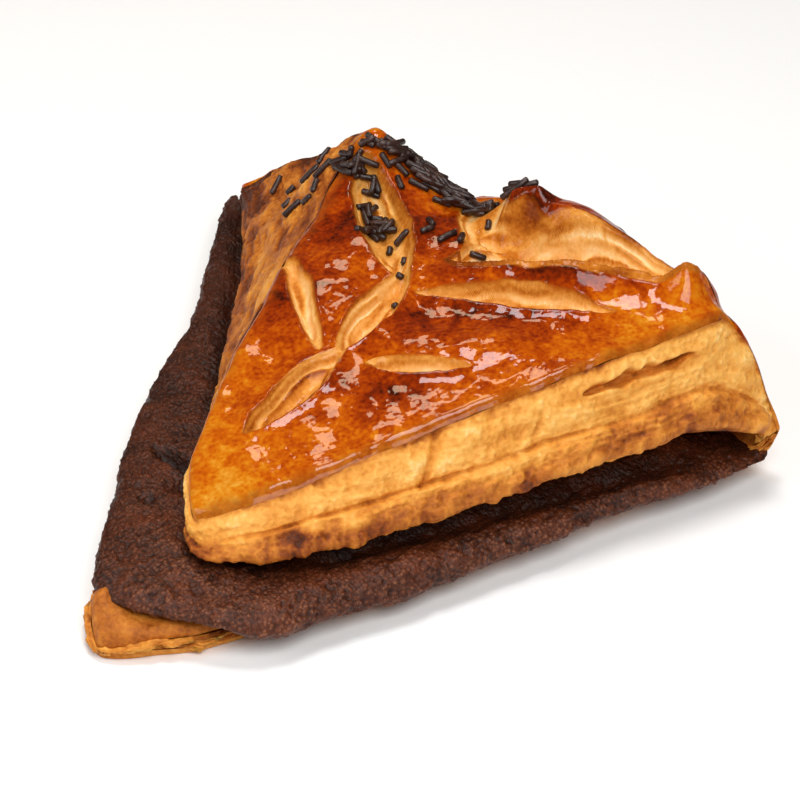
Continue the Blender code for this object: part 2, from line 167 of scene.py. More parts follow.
def heading_axes(heading: float) -> tuple[Point, Point]:
    """Give the unit vectors along a heading in degrees and to its left."""
    angle = math.radians(heading)
    return (math.cos(angle), math.sin(angle)), (-math.sin(angle), math.cos(angle))


def smooth(value: ndarray, low: float, high: float) -> ndarray:
    """Go smoothly from 0 at low to 1 at high."""
    share = np.clip((value - low) / (high - low), 0.0, 1.0)
    return share * share * (3.0 - 2.0 * share)


def unit(vectors: ndarray) -> ndarray:
    """Scale vectors to a length of one."""
    return vectors / np.maximum(np.linalg.norm(vectors, axis=-1, keepdims=True), 1e-9)


def run_along(path: ndarray) -> ndarray:
    """Give the distance walked at each point of a path, 0 at its start."""
    return np.append(0.0, np.cumsum(np.linalg.norm(np.diff(path, axis=0), axis=1)))


def blurred(line: ndarray, width: int) -> ndarray:
    """Even out a row of numbers with a bell of an odd width. Its ends are held."""
    bell = np.hanning(width)
    return np.convolve(np.pad(line, width // 2, mode="edge"), bell / bell.sum(), mode="valid")


class Grain:
    """Smooth noise over points in millimetres, the same on each run."""

    PRIMES = (73856093, 19349663, 83492791)

    @classmethod
    def _hashed(cls, cell: ndarray, seed: int) -> ndarray:
        """Give each whole-numbered cell a value from -1 to 1.

        Args:
            cell: Three whole numbers for each point.
            seed: Picks the pattern.

        Returns:
            One value for each point.
        """
        x, y, z = (cell[..., k] * prime for k, prime in enumerate(cls.PRIMES))
        mixed = x ^ y ^ z ^ seed * 26544357
        mixed = ((mixed ^ (mixed >> 13)) * 1274126177) & 0x7FFFFFFFFFFF
        return ((mixed >> 11) & 0xFFFF) / 32767.5 - 1.0

    @classmethod
    def value(cls, points: ndarray, size: float | Place, seed: int) -> ndarray:
        """Value noise from -1 to 1.

        Args:
            points: Points, three numbers each.
            size: How far apart its bumps are, the same along each axis or one number for each.
            seed: Picks the pattern.

        Returns:
            One number for each point.
        """
        scaled = points / np.asarray(size)
        cell = np.floor(scaled).astype(np.int64)
        part = scaled - cell
        part = part * part * (3.0 - 2.0 * part)
        total = np.zeros(points.shape[:-1])
        for corner in itertools.product((0, 1), repeat=3):
            weight = np.prod(np.where(np.array(corner) == 1, part, 1.0 - part), axis=-1)
            total += weight * cls._hashed(cell + np.array(corner), seed)
        return total

    @classmethod
    def fractal(cls, points: ndarray, size: float | Place, octaves: int, seed: int) -> ndarray:
        """Add finer and fainter copies of the value noise."""
        size = np.asarray(size, float)
        return sum(cls.value(points, size / 2**k, seed + k) / 2**k for k in range(octaves))

    @classmethod
    def blisters(cls, points: ndarray, size: float, seed: int) -> ndarray:
        """Round domes of mixed sizes in plan, 0 between them and up to 1 on top.

        Args:
            points: Points, three numbers each, of which X and Y count.
            size: The spacing of the domes.
            seed: Picks the pattern.

        Returns:
            One height for each point.
        """
        flat = np.dstack([points[..., :2] / size, np.zeros(points.shape[:-1])])
        cell = np.floor(flat).astype(np.int64)
        best = np.zeros(points.shape[:-1])
        for dx, dy in itertools.product((-1, 0, 1), repeat=2):
            here = cell + np.array((dx, dy, 0))
            right, up, wide = (cls._hashed(here, seed + k) for k in range(3))
            centre = here[..., :2] + 0.5 + 0.4 * np.dstack([right, up])
            radius = 0.33 + 0.2 * wide
            away = ((flat[..., :2] - centre) ** 2).sum(axis=-1)
            best = np.maximum(best, (1.0 - away / radius**2) * (radius / 0.5))
        return best


@dataclass(frozen=True)
class Patch:
    """A soft oval in plan that adds to a height or a colour, in millimetres and degrees."""

    centre: Point
    amount: float
    length: float
    width: float
    heading: float
    steep: float = 1.0

    def at(self, x: ndarray, y: ndarray) -> ndarray:
        """Give what the patch adds at plan points.

        Args:
            x: How far right each point lies.
            y: How far back each point lies.

        Returns:
            One number for each point.
        """
        along, left = heading_axes(self.heading)
        p = ((x - self.centre[0]) * along[0] + (y - self.centre[1]) * along[1]) / self.length
        q = ((x - self.centre[0]) * left[0] + (y - self.centre[1]) * left[1]) / self.width
        return self.amount * np.exp(-((p**2 + q**2) ** self.steep))


def patched(patches: tuple[Patch, ...], points: ndarray) -> ndarray:
    """Sum up what patches add at points, of which X and Y count."""
    return sum(patch.at(points[..., 0], points[..., 1]) for patch in patches)


@dataclass(frozen=True)
class Triangle:
    """A triangle in plan with bowed sides and a rounded open corner, in millimetres."""

    corner: Point
    nose: float
    left_end: Point
    left_bow: float
    right_end: Point
    right_bow: float

    def side(self, right: bool, a: ndarray) -> ndarray:
        """Walk one side from the open corner.

        Args:
            right: The right side, or the left one.
            a: Fractions of the way from the corner.

        Returns:
            Plan points.
        """
        ends = [np.array(self.left_end), np.array(self.right_end)]
        end, other_end = ends[right], ends[not right]
        bow = self.right_bow if right else self.left_bow
        corner = np.array(self.corner)
        length = np.linalg.norm(end - corner)
        along, other = unit(end - corner), unit(other_end - corner)
        middle = unit(along + other)
        outward = along - other
        outward = unit(outward - outward.dot(along) * along)
        reach = self.nose / (length * along.dot(middle))
        a = np.asarray(a)[..., None]
        swell = np.sqrt(np.clip(np.sin(math.pi * a), 0.0, 1.0)) * np.clip(a * 6.0, 0.0, 1.0)
        straight = corner + length * a * along
        return straight + self.nose * np.exp(-a / reach) * middle + bow * swell * outward

    def plan(self, a: ndarray, t: ndarray) -> ndarray:
        """Give plan points at fraction a from the corner and fraction t from the left side."""
        left, right = self.side(False, a), self.side(True, a)
        return left + (right - left) * np.asarray(t)[..., None]


@dataclass(frozen=True)
class FoldedSheet:
    """The folded sheet's two faces. Distance over the fold is 0 at the upper open corner, 1 at the
    fold and 2 at the lower open corner."""

    skin: Triangle = Triangle((-3.0, -59.5), 6.0, (-42.0, 38.0), 5.0, (44.5, 42.6), 3.2)
    foot: Triangle = Triangle((4.0, -66.0), 11.0, (-84.0, 42.0), -4.0, (53.0, 44.0), 3.3)
    lower: Triangle = Triangle((-3.5, -85.0), 8.0, (-78.0, 41.0), 2.4, (43.0, 41.0), 5.6)
    ridge: float = 0.70  # the four are places over the fold where a face ends
    base: float = 1.22
    inner_ridge: float = 0.86
    inner_base: float = 1.10
    corner_z: float = 19.3
    left_rise: float = 21.5
    right_rise: float = 17.0
    right_sweep: float = 0.95
    foot_z: float = 13.2
    foot_rise: float = 4.2
    arch_start: float = 0.85
    arch_drop: float = 6.0
    lower_z: float = 5.6
    fold_thickness: float = 6.0
    nub_radius: Point = (4.4, 2.0)
    nub_reach: Point = (1.62, 1.75)  # where the nub begins and where it is full
    pocket: Point = (8.0, 2.0)  # height of the fold's inside at its ends, and its bulge
    high: Point = (14.0, 22.0)  # heights between which the settled patches come in
    free_side: float = 120.0  # length of a free side of the lower half
    hems: Point = (7.0, 5.0)  # how far in the pocket ends, left and right
    hem_thickness: float = 1.8
    waver: tuple[Point, ...] = ((9.0, 0.45), (3.2, 0.16))
    fold_left: Place = (-89.0, 47.5, 12.5)
    fold_right: Place = (56.5, 48.0, 12.0)
    fold_middle: Point = (8.0, 7.0)
    bulb: Patch = Patch((-10.0, -72.0), 5.0, 5.6, 5.0, 62.0)
    swells: tuple[Patch, ...] = (
        Patch((14.0, 30.5), 4.0, 19.0, 5.0, 31.0),  # the strip in front of the widest slash
        Patch((8.0, 43.5), 9.5, 16.0, 6.0, 0.0),  # the flap behind it
        Patch((35.5, 42.5), 5.5, 3.5, 4.0, 31.0),  # the lip at the strip's end
        Patch((-19.0, 41.0), -3.0, 6.0, 7.0, 0.0),  # the saddle beside the peak
        Patch((-40.0, 37.5), 6.5, 7.0, 7.0, 0.0),  # the peak
        Patch((10.0, 3.0), 1.6, 14.0, 5.0, 31.0),  # between the two right slashes
        Patch((-22.0, 8.0), 1.6, 9.0, 6.0, 120.0),  # the panel left of the midrib
    )
    settled: tuple[Patch, ...] = (
        Patch((-61.0, 41.0), -2.2, 8.0, 9.0, 0.0),  # the dip between the peak and the left end
        Patch((-52.0, 38.0), 1.0, 3.0, 5.0, 0.0),
        Patch((-1.6, 40.0), 2.2, 5.6, 3.0, 41.0, 2.0),  # the burnt knob on the flap
        Patch((0.9, 40.4), 1.3, 2.0, 1.9, 0.0),
        Patch((-1.8, 39.6), 0.6, 1.3, 1.3, 0.0),
        Patch((-6.8, 41.6), 2.0, 3.8, 3.2, 0.0),  # its left shoulder
        Patch((-6.0, 47.0), -0.8, 6.0, 5.0, 0.0),
    )

    def fold_line(self, t: ndarray) -> ndarray:
        """Give the fold's outermost line.

        Args:
            t: Fraction across, 0 left end to 1 right end.

        Returns:
            Points on the line.
        """
        left, right = np.array(self.fold_left), np.array(self.fold_right)
        line = left + (right - left) * t[..., None]
        bulge = np.sin(math.pi * t)
        line[..., 1] += self.fold_middle[0] * bulge
        line[..., 2] += self.fold_middle[1] * bulge
        return line

    @staticmethod
    def _wrapped(s: ndarray, faces: tuple[ndarray, ...], ridge: float, base: float) -> ndarray:
        """Join an upper and a lower face by two quarter turns through the fold.

        Args:
            s: Distance over the fold.
            faces: Points of the upper face, of the fold's middle and of the lower face.
            ridge: Where the upper face ends.
            base: Where the lower face starts.

        Returns:
            Points of the whole face.
        """
        top, middle, ground = faces
        turn = np.where(s < 1.0, (s - ridge) / (1.0 - ridge), 1.0 + (s - 1.0) / (base - 1.0))
        turn = np.clip(turn, 0.0, 2.0)[..., None]
        angle = turn * math.pi / 2
        near = np.where(turn <= 1.0, top, ground)
        points = near + (middle - near) * np.sin(angle)
        swung = near + (middle - near) * (1.0 - np.abs(np.cos(angle)))
        points[..., 0] = np.where(turn[..., 0] <= 1.0, swung[..., 0], points[..., 0])
        points[..., 2] = swung[..., 2]
        points = np.where((s >= base)[..., None], ground, points)
        return np.where((s <= ridge)[..., None], top, points)

    def outer(self, s: ndarray, t: ndarray) -> ndarray:
        """Give the outer face: upper skin, fold and ground face.

        Args:
            s: Distance over the fold, 0 to 2.
            t: Fraction across, 0 left side to 1 right side.

        Returns:
            Points before the slashes are cut.
        """
        a = np.minimum(s / self.ridge, 1.0)
        plan = self.skin.plan(a, t)
        left = self.left_rise * a
        right = self.right_rise * np.sin(a * self.right_sweep * math.pi / 2)
        height = self.corner_z + left + (right - left) * t + patched(self.swells, plan)
        top = np.dstack([plan, height])
        plan = self.lower.plan(np.minimum((2.0 - s) / (2.0 - self.base), 1.0), t)
        ground = np.dstack([plan, np.zeros_like(s)])
        return self._wrapped(s, (top, self.fold_line(t), ground), self.ridge, self.base)

    def inner(self, s: ndarray, t: ndarray) -> ndarray:
        """Give the inner face, which holds the cocoa layer.

        Args:
            s: Distance over the fold, 0 to 2.
            t: Fraction across, 0 left side to 1 right side.

        Returns:
            Its points.
        """
        a = np.minimum(s / self.inner_ridge, 1.0)
        arch = np.clip((a - self.arch_start) / (1.0 - self.arch_start), 0.0, 1.0) ** 1.5
        left = self.foot_z - 0.8 * a
        rise = self.foot_rise * np.minimum(a / self.arch_start, 1.0)
        right = self.foot_z + rise - self.arch_drop * arch
        top = np.dstack([self.foot.plan(a, t), left + (right - left) * t**1.5])
        plan = self.lower.plan(np.minimum((2.0 - s) / (2.0 - self.inner_base), 1.0), t)
        ground = np.dstack([plan, self.lower_z + patched((self.bulb,), plan)])
        bulge = np.sin(math.pi * t)
        hem, thin = self.hems[0] + (self.hems[1] - self.hems[0]) * t, self.hem_thickness
        middle = self.fold_line(t)
        middle[..., 0] += hem * (1.0 - 2.0 * t)
        middle[..., 1] -= thin + (self.fold_thickness - thin) * bulge
        middle[..., 2] = self.pocket[0] + self.pocket[1] * bulge
        return self._wrapped(s, (top, middle, ground), self.inner_ridge, self.inner_base)

    def nub_rim(self, s: ndarray, t: ndarray) -> ndarray:
        """Give the radius of the round rim that the lower open corner has, 0 away from it."""
        left, right = self.nub_radius
        return (left + (right - left) * t * smooth(2.0 - s, 0.0, 0.10)) * self.nub(s)

    def nub(self, s: ndarray) -> ndarray:
        """Say how much of the lower open corner's nub is at a distance over the fold."""
        return smooth(s, *self.nub_reach)

    @staticmethod
    def rounded(away: ndarray, radius: float) -> ndarray:
        """Say how far a rim with a round top has dropped, at a distance from its edge."""
        share = np.clip(away / np.maximum(radius, 1e-6), 0.0, 1.0)
        return radius * (1.0 - np.sqrt(np.clip(1.0 - (1.0 - share) ** 2, 0.0, 1.0)))

    @staticmethod
    def folded(u: ndarray, v: ndarray) -> tuple[ndarray, ndarray]:
        """Turn places on the square sheet to places over the fold.

        Args:
            u: Fraction along the sheet's one side.
            v: Fraction along its other side.

        Returns:
            Distance over the fold and fraction across.
        """
        s = u + v
        upper, lower = u / np.maximum(s, 1e-9), (1.0 - v) / np.maximum(2.0 - s, 1e-9)
        return s, np.clip(np.where(s <= 1.0, upper, lower), 0.0, 1.0)

    def uneven(self, points: ndarray) -> ndarray:
        """Shift points a little, the same wherever two pieces meet, as dough rises unevenly.

        Args:
            points: Points of a face.

        Returns:
            The shifted points.
        """
        shift = np.zeros_like(points)
        for k, (size, amount) in enumerate(self.waver):
            for axis in range(3):
                shift[..., axis] += Grain.value(points, size, 40 + 10 * k + axis) * amount
        shift[..., 2] *= smooth(points[..., 2], 0.0, 3.0)
        high = smooth(points[..., 2], *self.high)
        shift[..., 2] += high * patched(self.settled, points)
        return points + shift


@dataclass(frozen=True)
class Slash:
    """A leaf-shaped cut in the skin: its ends and half widths in plan, its depth and lips."""

    start: Point
    end: Point
    left: float
    right: float
    depth: float
    keel: float
    left_lip: float = 0.4
    right_lip: float = 0.8
    skew: float = 1.0
    bluntness: float = 0.75
    bare: float = 0.45

    def cut(self, points: ndarray) -> tuple[ndarray, ndarray, ndarray, ndarray]:
        """Work out the cut at points of the skin.

        Args:
            points: Points of the skin.

        Returns:
            Depth of the cut, height of its lips, share of cut surface and place down the wall.
        """
        start, end = np.array(self.start), np.array(self.end)
        length = np.linalg.norm(end - start)
        along = unit(end - start)
        offset = points[..., :2] - start
        f = offset @ along / length
        q = offset @ np.array((-along[1], along[0]))
        q = q + 0.45 * Grain.value(points, 8.0, 60) + 0.35 * Grain.value(points, 3.4, 61)
        q = q + 0.12 * Grain.value(points, 1.1, 62)
        wide = np.sin(math.pi * (0.02 + 0.96 * np.clip(f, 0.0, 1.0) ** self.skew)) ** self.bluntness
        past = length * np.maximum(np.maximum(-f, f - 1.0), 0.0)
        from_right, from_left = q + self.right * wide, self.left * wide - q
        inside = np.minimum(from_right, from_left) - past
        across = np.clip(from_right / np.maximum((self.left + self.right) * wide, 0.05), 0.0, 1.0)
        fall = np.where(across < self.keel, across / self.keel, (1.0 - across) / (1.0 - self.keel))
        wall = 1.0 - np.exp(-np.maximum(inside, 0.0) / 0.5)
        torn = smooth(fall + 0.16 * Grain.value(points, 5.0, 63), 0.30, 0.46)
        down = wall * (0.30 + 0.58 * fall**0.85 + 0.12 * torn)
        down = down * np.minimum(wide * 1.15, 1.0)
        nearer = from_right < from_left
        lip = np.where(nearer, self.right_lip, self.left_lip) * np.exp(-np.abs(inside) / 1.7)
        lip = lip * np.minimum(wide * 2.0, 1.0) * np.exp(-past)
        return self.depth * down, lip, smooth(inside, -self.bare, 0.4 - self.bare), down


@dataclass
class GridSheet:
    """A sheet of square cells made by one operator, whose points are set as a table of rows. Its
    tolerances are in metres."""

    name: str
    across: int
    along: int
    points: ndarray = field(init=False)
    on_plane: float = 1e-5
    weld: float = 2e-6
    tiny: float = 1e-7
    sample: int = 17

    def __post_init__(self) -> None:
        """Make the flat grid and note each point's place in the table."""
        self.built = bmesh.new()
        bmesh.ops.create_grid(self.built, x_segments=self.across, y_segments=self.along, size=0.5)
        self._number()
        sides = (np.linspace(0.0, 1.0, count + 1) for count in (self.across, self.along))
        self.x, self.y = np.meshgrid(*sides, indexing="ij")
        self.painted: dict[str, ndarray] = {}

    def _number(self) -> None:
        """Note each point's column and row."""
        flat = np.array([vert.co[:2] for vert in self.built.verts]) + 0.5
        self.column = np.rint(flat[:, 0] * self.across).astype(int)
        self.row = np.rint(flat[:, 1] * self.along).astype(int)

    def keep_triangle(self) -> None:
        """Cut the grid along its diagonal and keep the half next to the first corner."""
        geometry = [*self.built.verts, *self.built.edges, *self.built.faces]
        bmesh.ops.bisect_plane(
            self.built,
            geom=geometry,
            dist=self.on_plane,
            plane_co=(0.0, 0.0, 0.0),
            plane_no=(1.0, 1.0, 0.0),
            clear_outer=True,
        )
        self._number()

    def normals(self, outward: ndarray) -> ndarray:
        """Work out the sheet's unit normals from neighbouring points of the table.

        Args:
            outward: Vectors that point roughly out of the piece.

        Returns:
            Normals, all turned to the side that those vectors point to.
        """
        normal = unit(np.cross(np.gradient(self.points, axis=0), np.gradient(self.points, axis=1)))
        return normal * np.sign(np.sum(normal * outward))

    def finish(self, material: Material, middle: Place, facing: Facing, close: bool) -> Object:
        """Turn the table into an object.

        Args:
            material: The piece's finish.
            middle: A place inside the pastry, in millimetres.
            facing: Whether the faces look away from that place.
            close: Merge doubled points, which closes a seam and the poles.

        Returns:
            The finished object, at the origin.
        """
        places = (self.points[self.column, self.row] + np.array(ORIGIN)) * MM
        for vert, place in zip(self.built.verts, places.tolist()):
            vert.co = place
        for name in self.painted:
            self.built.verts.layers.float.new(name)
        for name, values in self.painted.items():
            layer = self.built.verts.layers.float[name]
            for vert, value in zip(self.built.verts, values[self.column, self.row].tolist()):
                vert[layer] = value
        if close:
            bmesh.ops.remove_doubles(self.built, verts=self.built.verts, dist=self.weld)
            bmesh.ops.dissolve_degenerate(self.built, edges=self.built.edges, dist=self.tiny)
        bmesh.ops.recalc_face_normals(self.built, faces=self.built.faces)
        centre = Vector((np.array(middle) + np.array(ORIGIN)) * MM)
        outward = 0.0
        for face in list(self.built.faces)[:: self.sample]:
            away = (face.calc_center_median() - centre).normalized()
            outward += face.calc_area() * face.normal.dot(away)
        if outward * facing.value < 0.0:
            bmesh.ops.reverse_faces(self.built, faces=self.built.faces)
        obj = as_object(self.name, self.built, material)
        obj.data.shade_smooth()
        return obj


@dataclass(frozen=True)
class EggWashedCrust:
    """Puff pastry brushed with beaten egg and baked: a thin glossy skin, red-brown where it stood
    highest in the oven, amber to gold lower down, with fine blisters that break up the gloss.
    Where it is slashed, the matt cream layers show."""

    name: str = "egg_washed_crust"
    blister: float = 0.9
    coat: float = 0.62
    glazed = (
        (0.0, "#dc9a34"),
        (0.20, "#cf7a10"),
        (0.38, "#c05a05"),
        (0.56, "#a43d02"),
        (0.74, "#842702"),
        (1.0, "#3f1003"),
    )
    leaves = (
        (0.0, "#481c08"),
        (0.18, "#8c400e"),
        (0.38, "#bf6f22"),
        (0.56, "#dc9542"),
        (0.76, "#efb468"),
        (1.0, "#f7d69c"),
    )

    def build(self) -> Material:
        """Make the material.

        Returns:
            The material, which reads the attributes bake, cut and tone.
        """
        material, tree, place = begin(self.name)
        bake, cut, tone = (
            node(tree, "Attribute", attribute_name=name).outputs["Fac"]
            for name in ("bake", "cut", "tone")
        )
        broad = node(
            tree,
            "TexNoise",
            {"Vector": place, "Scale": 1 / (5.0 * MM), "Detail": 4.0, "Distortion": 1.2},
        ).outputs["Fac"]
        cells = {"Vector": place, "Scale": 1 / (self.blister * MM)}
        fine = node(tree, "TexNoise", {**cells, "Detail": 4.0, "Roughness": 0.6}).outputs["Fac"]
        blisters = node(
            tree, "TexVoronoi", {**cells, "Smoothness": 0.6}, feature="SMOOTH_F1"
        ).outputs["Distance"]
        parts = [
            node(tree, "Math", {0: source, 1: gain, 2: shift}, operation="MULTIPLY_ADD").outputs[0]
            for source, gain, shift in (
                (broad, 0.80, -0.40),
                (fine, 0.44, -0.22),
                (blisters, -0.26, 0.12),
            )
        ]
        for part in parts:
            bake = node(tree, "Math", {0: bake, 1: part}, operation="ADD").outputs[0]
        crust = node(tree, "ValToRGB", {"Fac": bake}, stops=self.glazed)
        shade = node(tree, "Math", {0: parts[1], 1: tone}, operation="ADD")
        dough = node(tree, "ValToRGB", {"Fac": shade.outputs[0]}, stops=self.leaves)
        colour = node(
            tree,
            "Mix",
            {0: cut, 6: crust.outputs["Color"], 7: dough.outputs["Color"]},
            data_type="RGBA",
        )
        rough = node(tree, "MapRange", {"Value": fine, "To Min": 0.30, "To Max": 0.48})
        rough = node(tree, "Mix", {0: cut, 2: rough.outputs[0], 3: 0.50}, data_type="FLOAT")
        glaze = node(tree, "MapRange", {"Value": cut, "To Min": self.coat, "To Max": 0.24})
        low = node(tree, "Bump", {"Height": blisters, "Strength": 0.3, "Distance": 0.06 * MM})
        bump = node(
            tree,
            "Bump",
            {"Height": fine, "Normal": low.outputs[0], "Strength": 0.7, "Distance": 0.22 * MM},
        )
        feed(
            tree.nodes["Principled BSDF"],
            {
                "Base Color": colour.outputs[2],
                "Roughness": rough.outputs[0],
                "Coat Weight": glaze.outputs[0],
                "Normal": bump.outputs[0],
                "Coat Normal": low.outputs[0],
                "Coat Roughness": 0.06,
                "Coat IOR": 1.5,
                "IOR": 1.45,
                "Specular IOR Level": 0.0,
                "Subsurface Weight": 0.10,
                "Subsurface Radius": (1.0, 0.45, 0.15),
                "Subsurface Scale": 1.2 * MM,
            },
        )
        return material


@dataclass(frozen=True)
class BakedLayers:
    """Cut puff pastry: hundreds of thin matt leaves of dough, cream where they opened last and
    tan to brown where they faced the heat, so the sides look striped and a little translucent."""

    name: str = "baked_layers"
    leaf: float = 0.55
    stops = (
        (0.0, "#52230a"),
        (0.16, "#8e440f"),
        (0.34, "#bf6f22"),
        (0.54, "#df9439"),
        (0.76, "#f2b359"),
        (1.0, "#f9d894"),
    )

    def build(self) -> Material:
        """Make the material.

        Returns:
            The material, which reads the attribute tone, 0 brown to 1 pale cream.
        """
        material, tree, place = begin(self.name)
        tone = node(tree, "Attribute", attribute_name="tone").outputs["Fac"]
        flat = node(tree, "Mapping", {"Vector": place, "Scale": (0.25, 0.25, 1.0)}).outputs[0]
        leaves, pores = (
            node(
                tree, "TexNoise", {"Vector": vector, "Scale": 1 / (size * MM), "Detail": detail}
            ).outputs["Fac"]
            for vector, size, detail in ((flat, self.leaf, 3.0), (place, 0.8, 4.0))
        )
        for source, gain in ((leaves, 0.10), (pores, 0.34)):
            part = node(
                tree, "Math", {0: source, 1: gain, 2: -gain / 2}, operation="MULTIPLY_ADD"
            )
            tone = node(tree, "Math", {0: tone, 1: part.outputs[0]}, operation="ADD").outputs[0]
        colour = node(tree, "ValToRGB", {"Fac": tone}, stops=self.stops)
        rough = node(tree, "MapRange", {"Value": pores, "To Min": 0.48, "To Max": 0.68})
        low = node(tree, "Bump", {"Height": leaves, "Strength": 0.3, "Distance": 0.3 * MM})
        bump = node(
            tree,
            "Bump",
            {"Height": pores, "Normal": low.outputs[0], "Strength": 0.8, "Distance": 0.35 * MM},
        )
        feed(
            tree.nodes["Principled BSDF"],
            {
                "Base Color": colour.outputs[0],
                "Roughness": rough.outputs[0],
                "Normal": bump.outputs[0],
                "IOR": 1.45,
                "Specular IOR Level": 0.25,
                "Subsurface Weight": 0.2,
                "Subsurface Radius": (1.0, 0.6, 0.25),
                "Subsurface Scale": 1.5 * MM,
            },
        )
        return material


@dataclass(frozen=True)
class CocoaCake:
    """Cocoa sponge baked as a layer: matt, dark and slightly purple brown, an open crumb of pores
    under a millimetre with paler crumbs. Its grains are painted lighter at their middles as
    highlights and darker between them as shade."""

    name: str = "cocoa_cake"
    crumb: float = 0.55
    stops = ((0.44, "#1c0b04"), (0.60, "#44200f"), (0.76, "#64331c"), (0.94, "#9a6343"))
    warm = ((0.38, "#3c1c11"), (0.66, "#703318"))

    def build(self) -> Material:
        """Make the material.

        Returns:
            The material, which reads the attribute tone, how light the crumb is, painted shade
            included.
        """
        material, tree, place = begin(self.name)
        tone = node(tree, "Attribute", attribute_name="tone").outputs["Fac"]
        crumb = node(
            tree,
            "TexNoise",
            {"Vector": place, "Scale": 1 / (self.crumb * MM), "Detail": 2.0, "Roughness": 0.6},
        ).outputs["Fac"]
        # partly crumb colour, partly painted light: grains lighter at their middles as highlights,
        # darker between them as shade
        sand_with_painted_light = node(tree, "TexVoronoi", {"Vector": place, "Scale": 1 / (1.4 * self.crumb * MM)})
        sand_with_painted_light = node(
            tree, "MapRange", {"Value": sand_with_painted_light.outputs["Distance"], "To Min": 1.0, "To Max": 0.0}
        )
        crumb = node(tree, "Mix", {0: 0.45, 2: crumb, 3: sand_with_painted_light.outputs[0]}, data_type="FLOAT")
        broad = node(tree, "TexNoise", {"Vector": place, "Scale": 1 / (7.0 * MM), "Detail": 4.0})
        warm = node(tree, "ValToRGB", {"Fac": broad.outputs["Fac"]}, stops=self.warm)
        grey = node(tree, "Math", {0: crumb.outputs[0], 1: tone}, operation="ADD")
        crust = node(tree, "ValToRGB", {"Fac": grey.outputs[0]}, stops=self.stops)
        colour = node(
            tree,
            "Mix",
            {0: 0.3, 6: crust.outputs["Color"], 7: warm.outputs["Color"]},
            data_type="RGBA",
        )
        bump = node(
            tree, "Bump", {"Height": crumb.outputs[0], "Strength": 1.0, "Distance": 0.45 * MM}
        )
        feed(
            tree.nodes["Principled BSDF"],
            {
                "Base Color": colour.outputs[2],
                "Normal": bump.outputs[0],
                "Roughness": 0.42,
                "IOR": 1.4,
                "Specular IOR Level": 0.35,
            },
        )
        return material


@dataclass(frozen=True)
class ChocolateRods:
    """Dark chocolate vermicelli: extruded and polished, nearly black brown with a greyish satin
    sheen along each rod."""

    name: str = "chocolate_vermicelli"
    grit: float = 0.5
    stops = ((0.12, "#1c0e0a"), (0.28, "#301a13"), (0.42, "#4c3027"))

    def build(self) -> Material:
        """Make the material.

        Returns:
            The material.
        """
        material, tree, place = begin(self.name)
        grit = node(
            tree, "TexNoise", {"Vector": place, "Scale": 1 / (self.grit * MM), "Detail": 3.0}
        ).outputs["Fac"]
        broad = node(tree, "TexNoise", {"Vector": place, "Scale": 1 / (4.0 * MM)}).outputs["Fac"]
        mixed = node(tree, "Math", {0: grit, 1: broad}, operation="MULTIPLY")
        colour = node(tree, "ValToRGB", {"Fac": mixed.outputs[0]}, stops=self.stops)
        rough = node(tree, "MapRange", {"Value": grit, "To Min": 0.28, "To Max": 0.5})
        bump = node(tree, "Bump", {"Height": grit, "Strength": 0.4, "Distance": 0.08 * MM})
        feed(
            tree.nodes["Principled BSDF"],
            {
                "Base Color": colour.outputs[0],
                "Roughness": rough.outputs[0],
                "Normal": bump.outputs[0],
                "IOR": 1.5,
            },
        )
        return material


@dataclass(frozen=True)
class MattCard:
    """White studio card: plain, matt and nearly as bright as the light on it."""

    name: str = "white_card"

    def build(self) -> Material:
        """Make the material, with a trace of paper tooth.

        Returns:
            The material.
        """
        material, tree, place = begin(self.name)
        tooth = node(tree, "TexNoise", {"Vector": place, "Scale": 1 / (2.0 * MM)})
        stops = ((0.0, "#fbfbfa"), (1.0, "#fdfdfc"))
        colour = node(tree, "ValToRGB", {"Fac": tooth.outputs["Fac"]}, stops=stops)
        shader = tree.nodes["Principled BSDF"]
        feed(shader, {"Base Color": colour.outputs[0], "Roughness": 0.9})
        return material


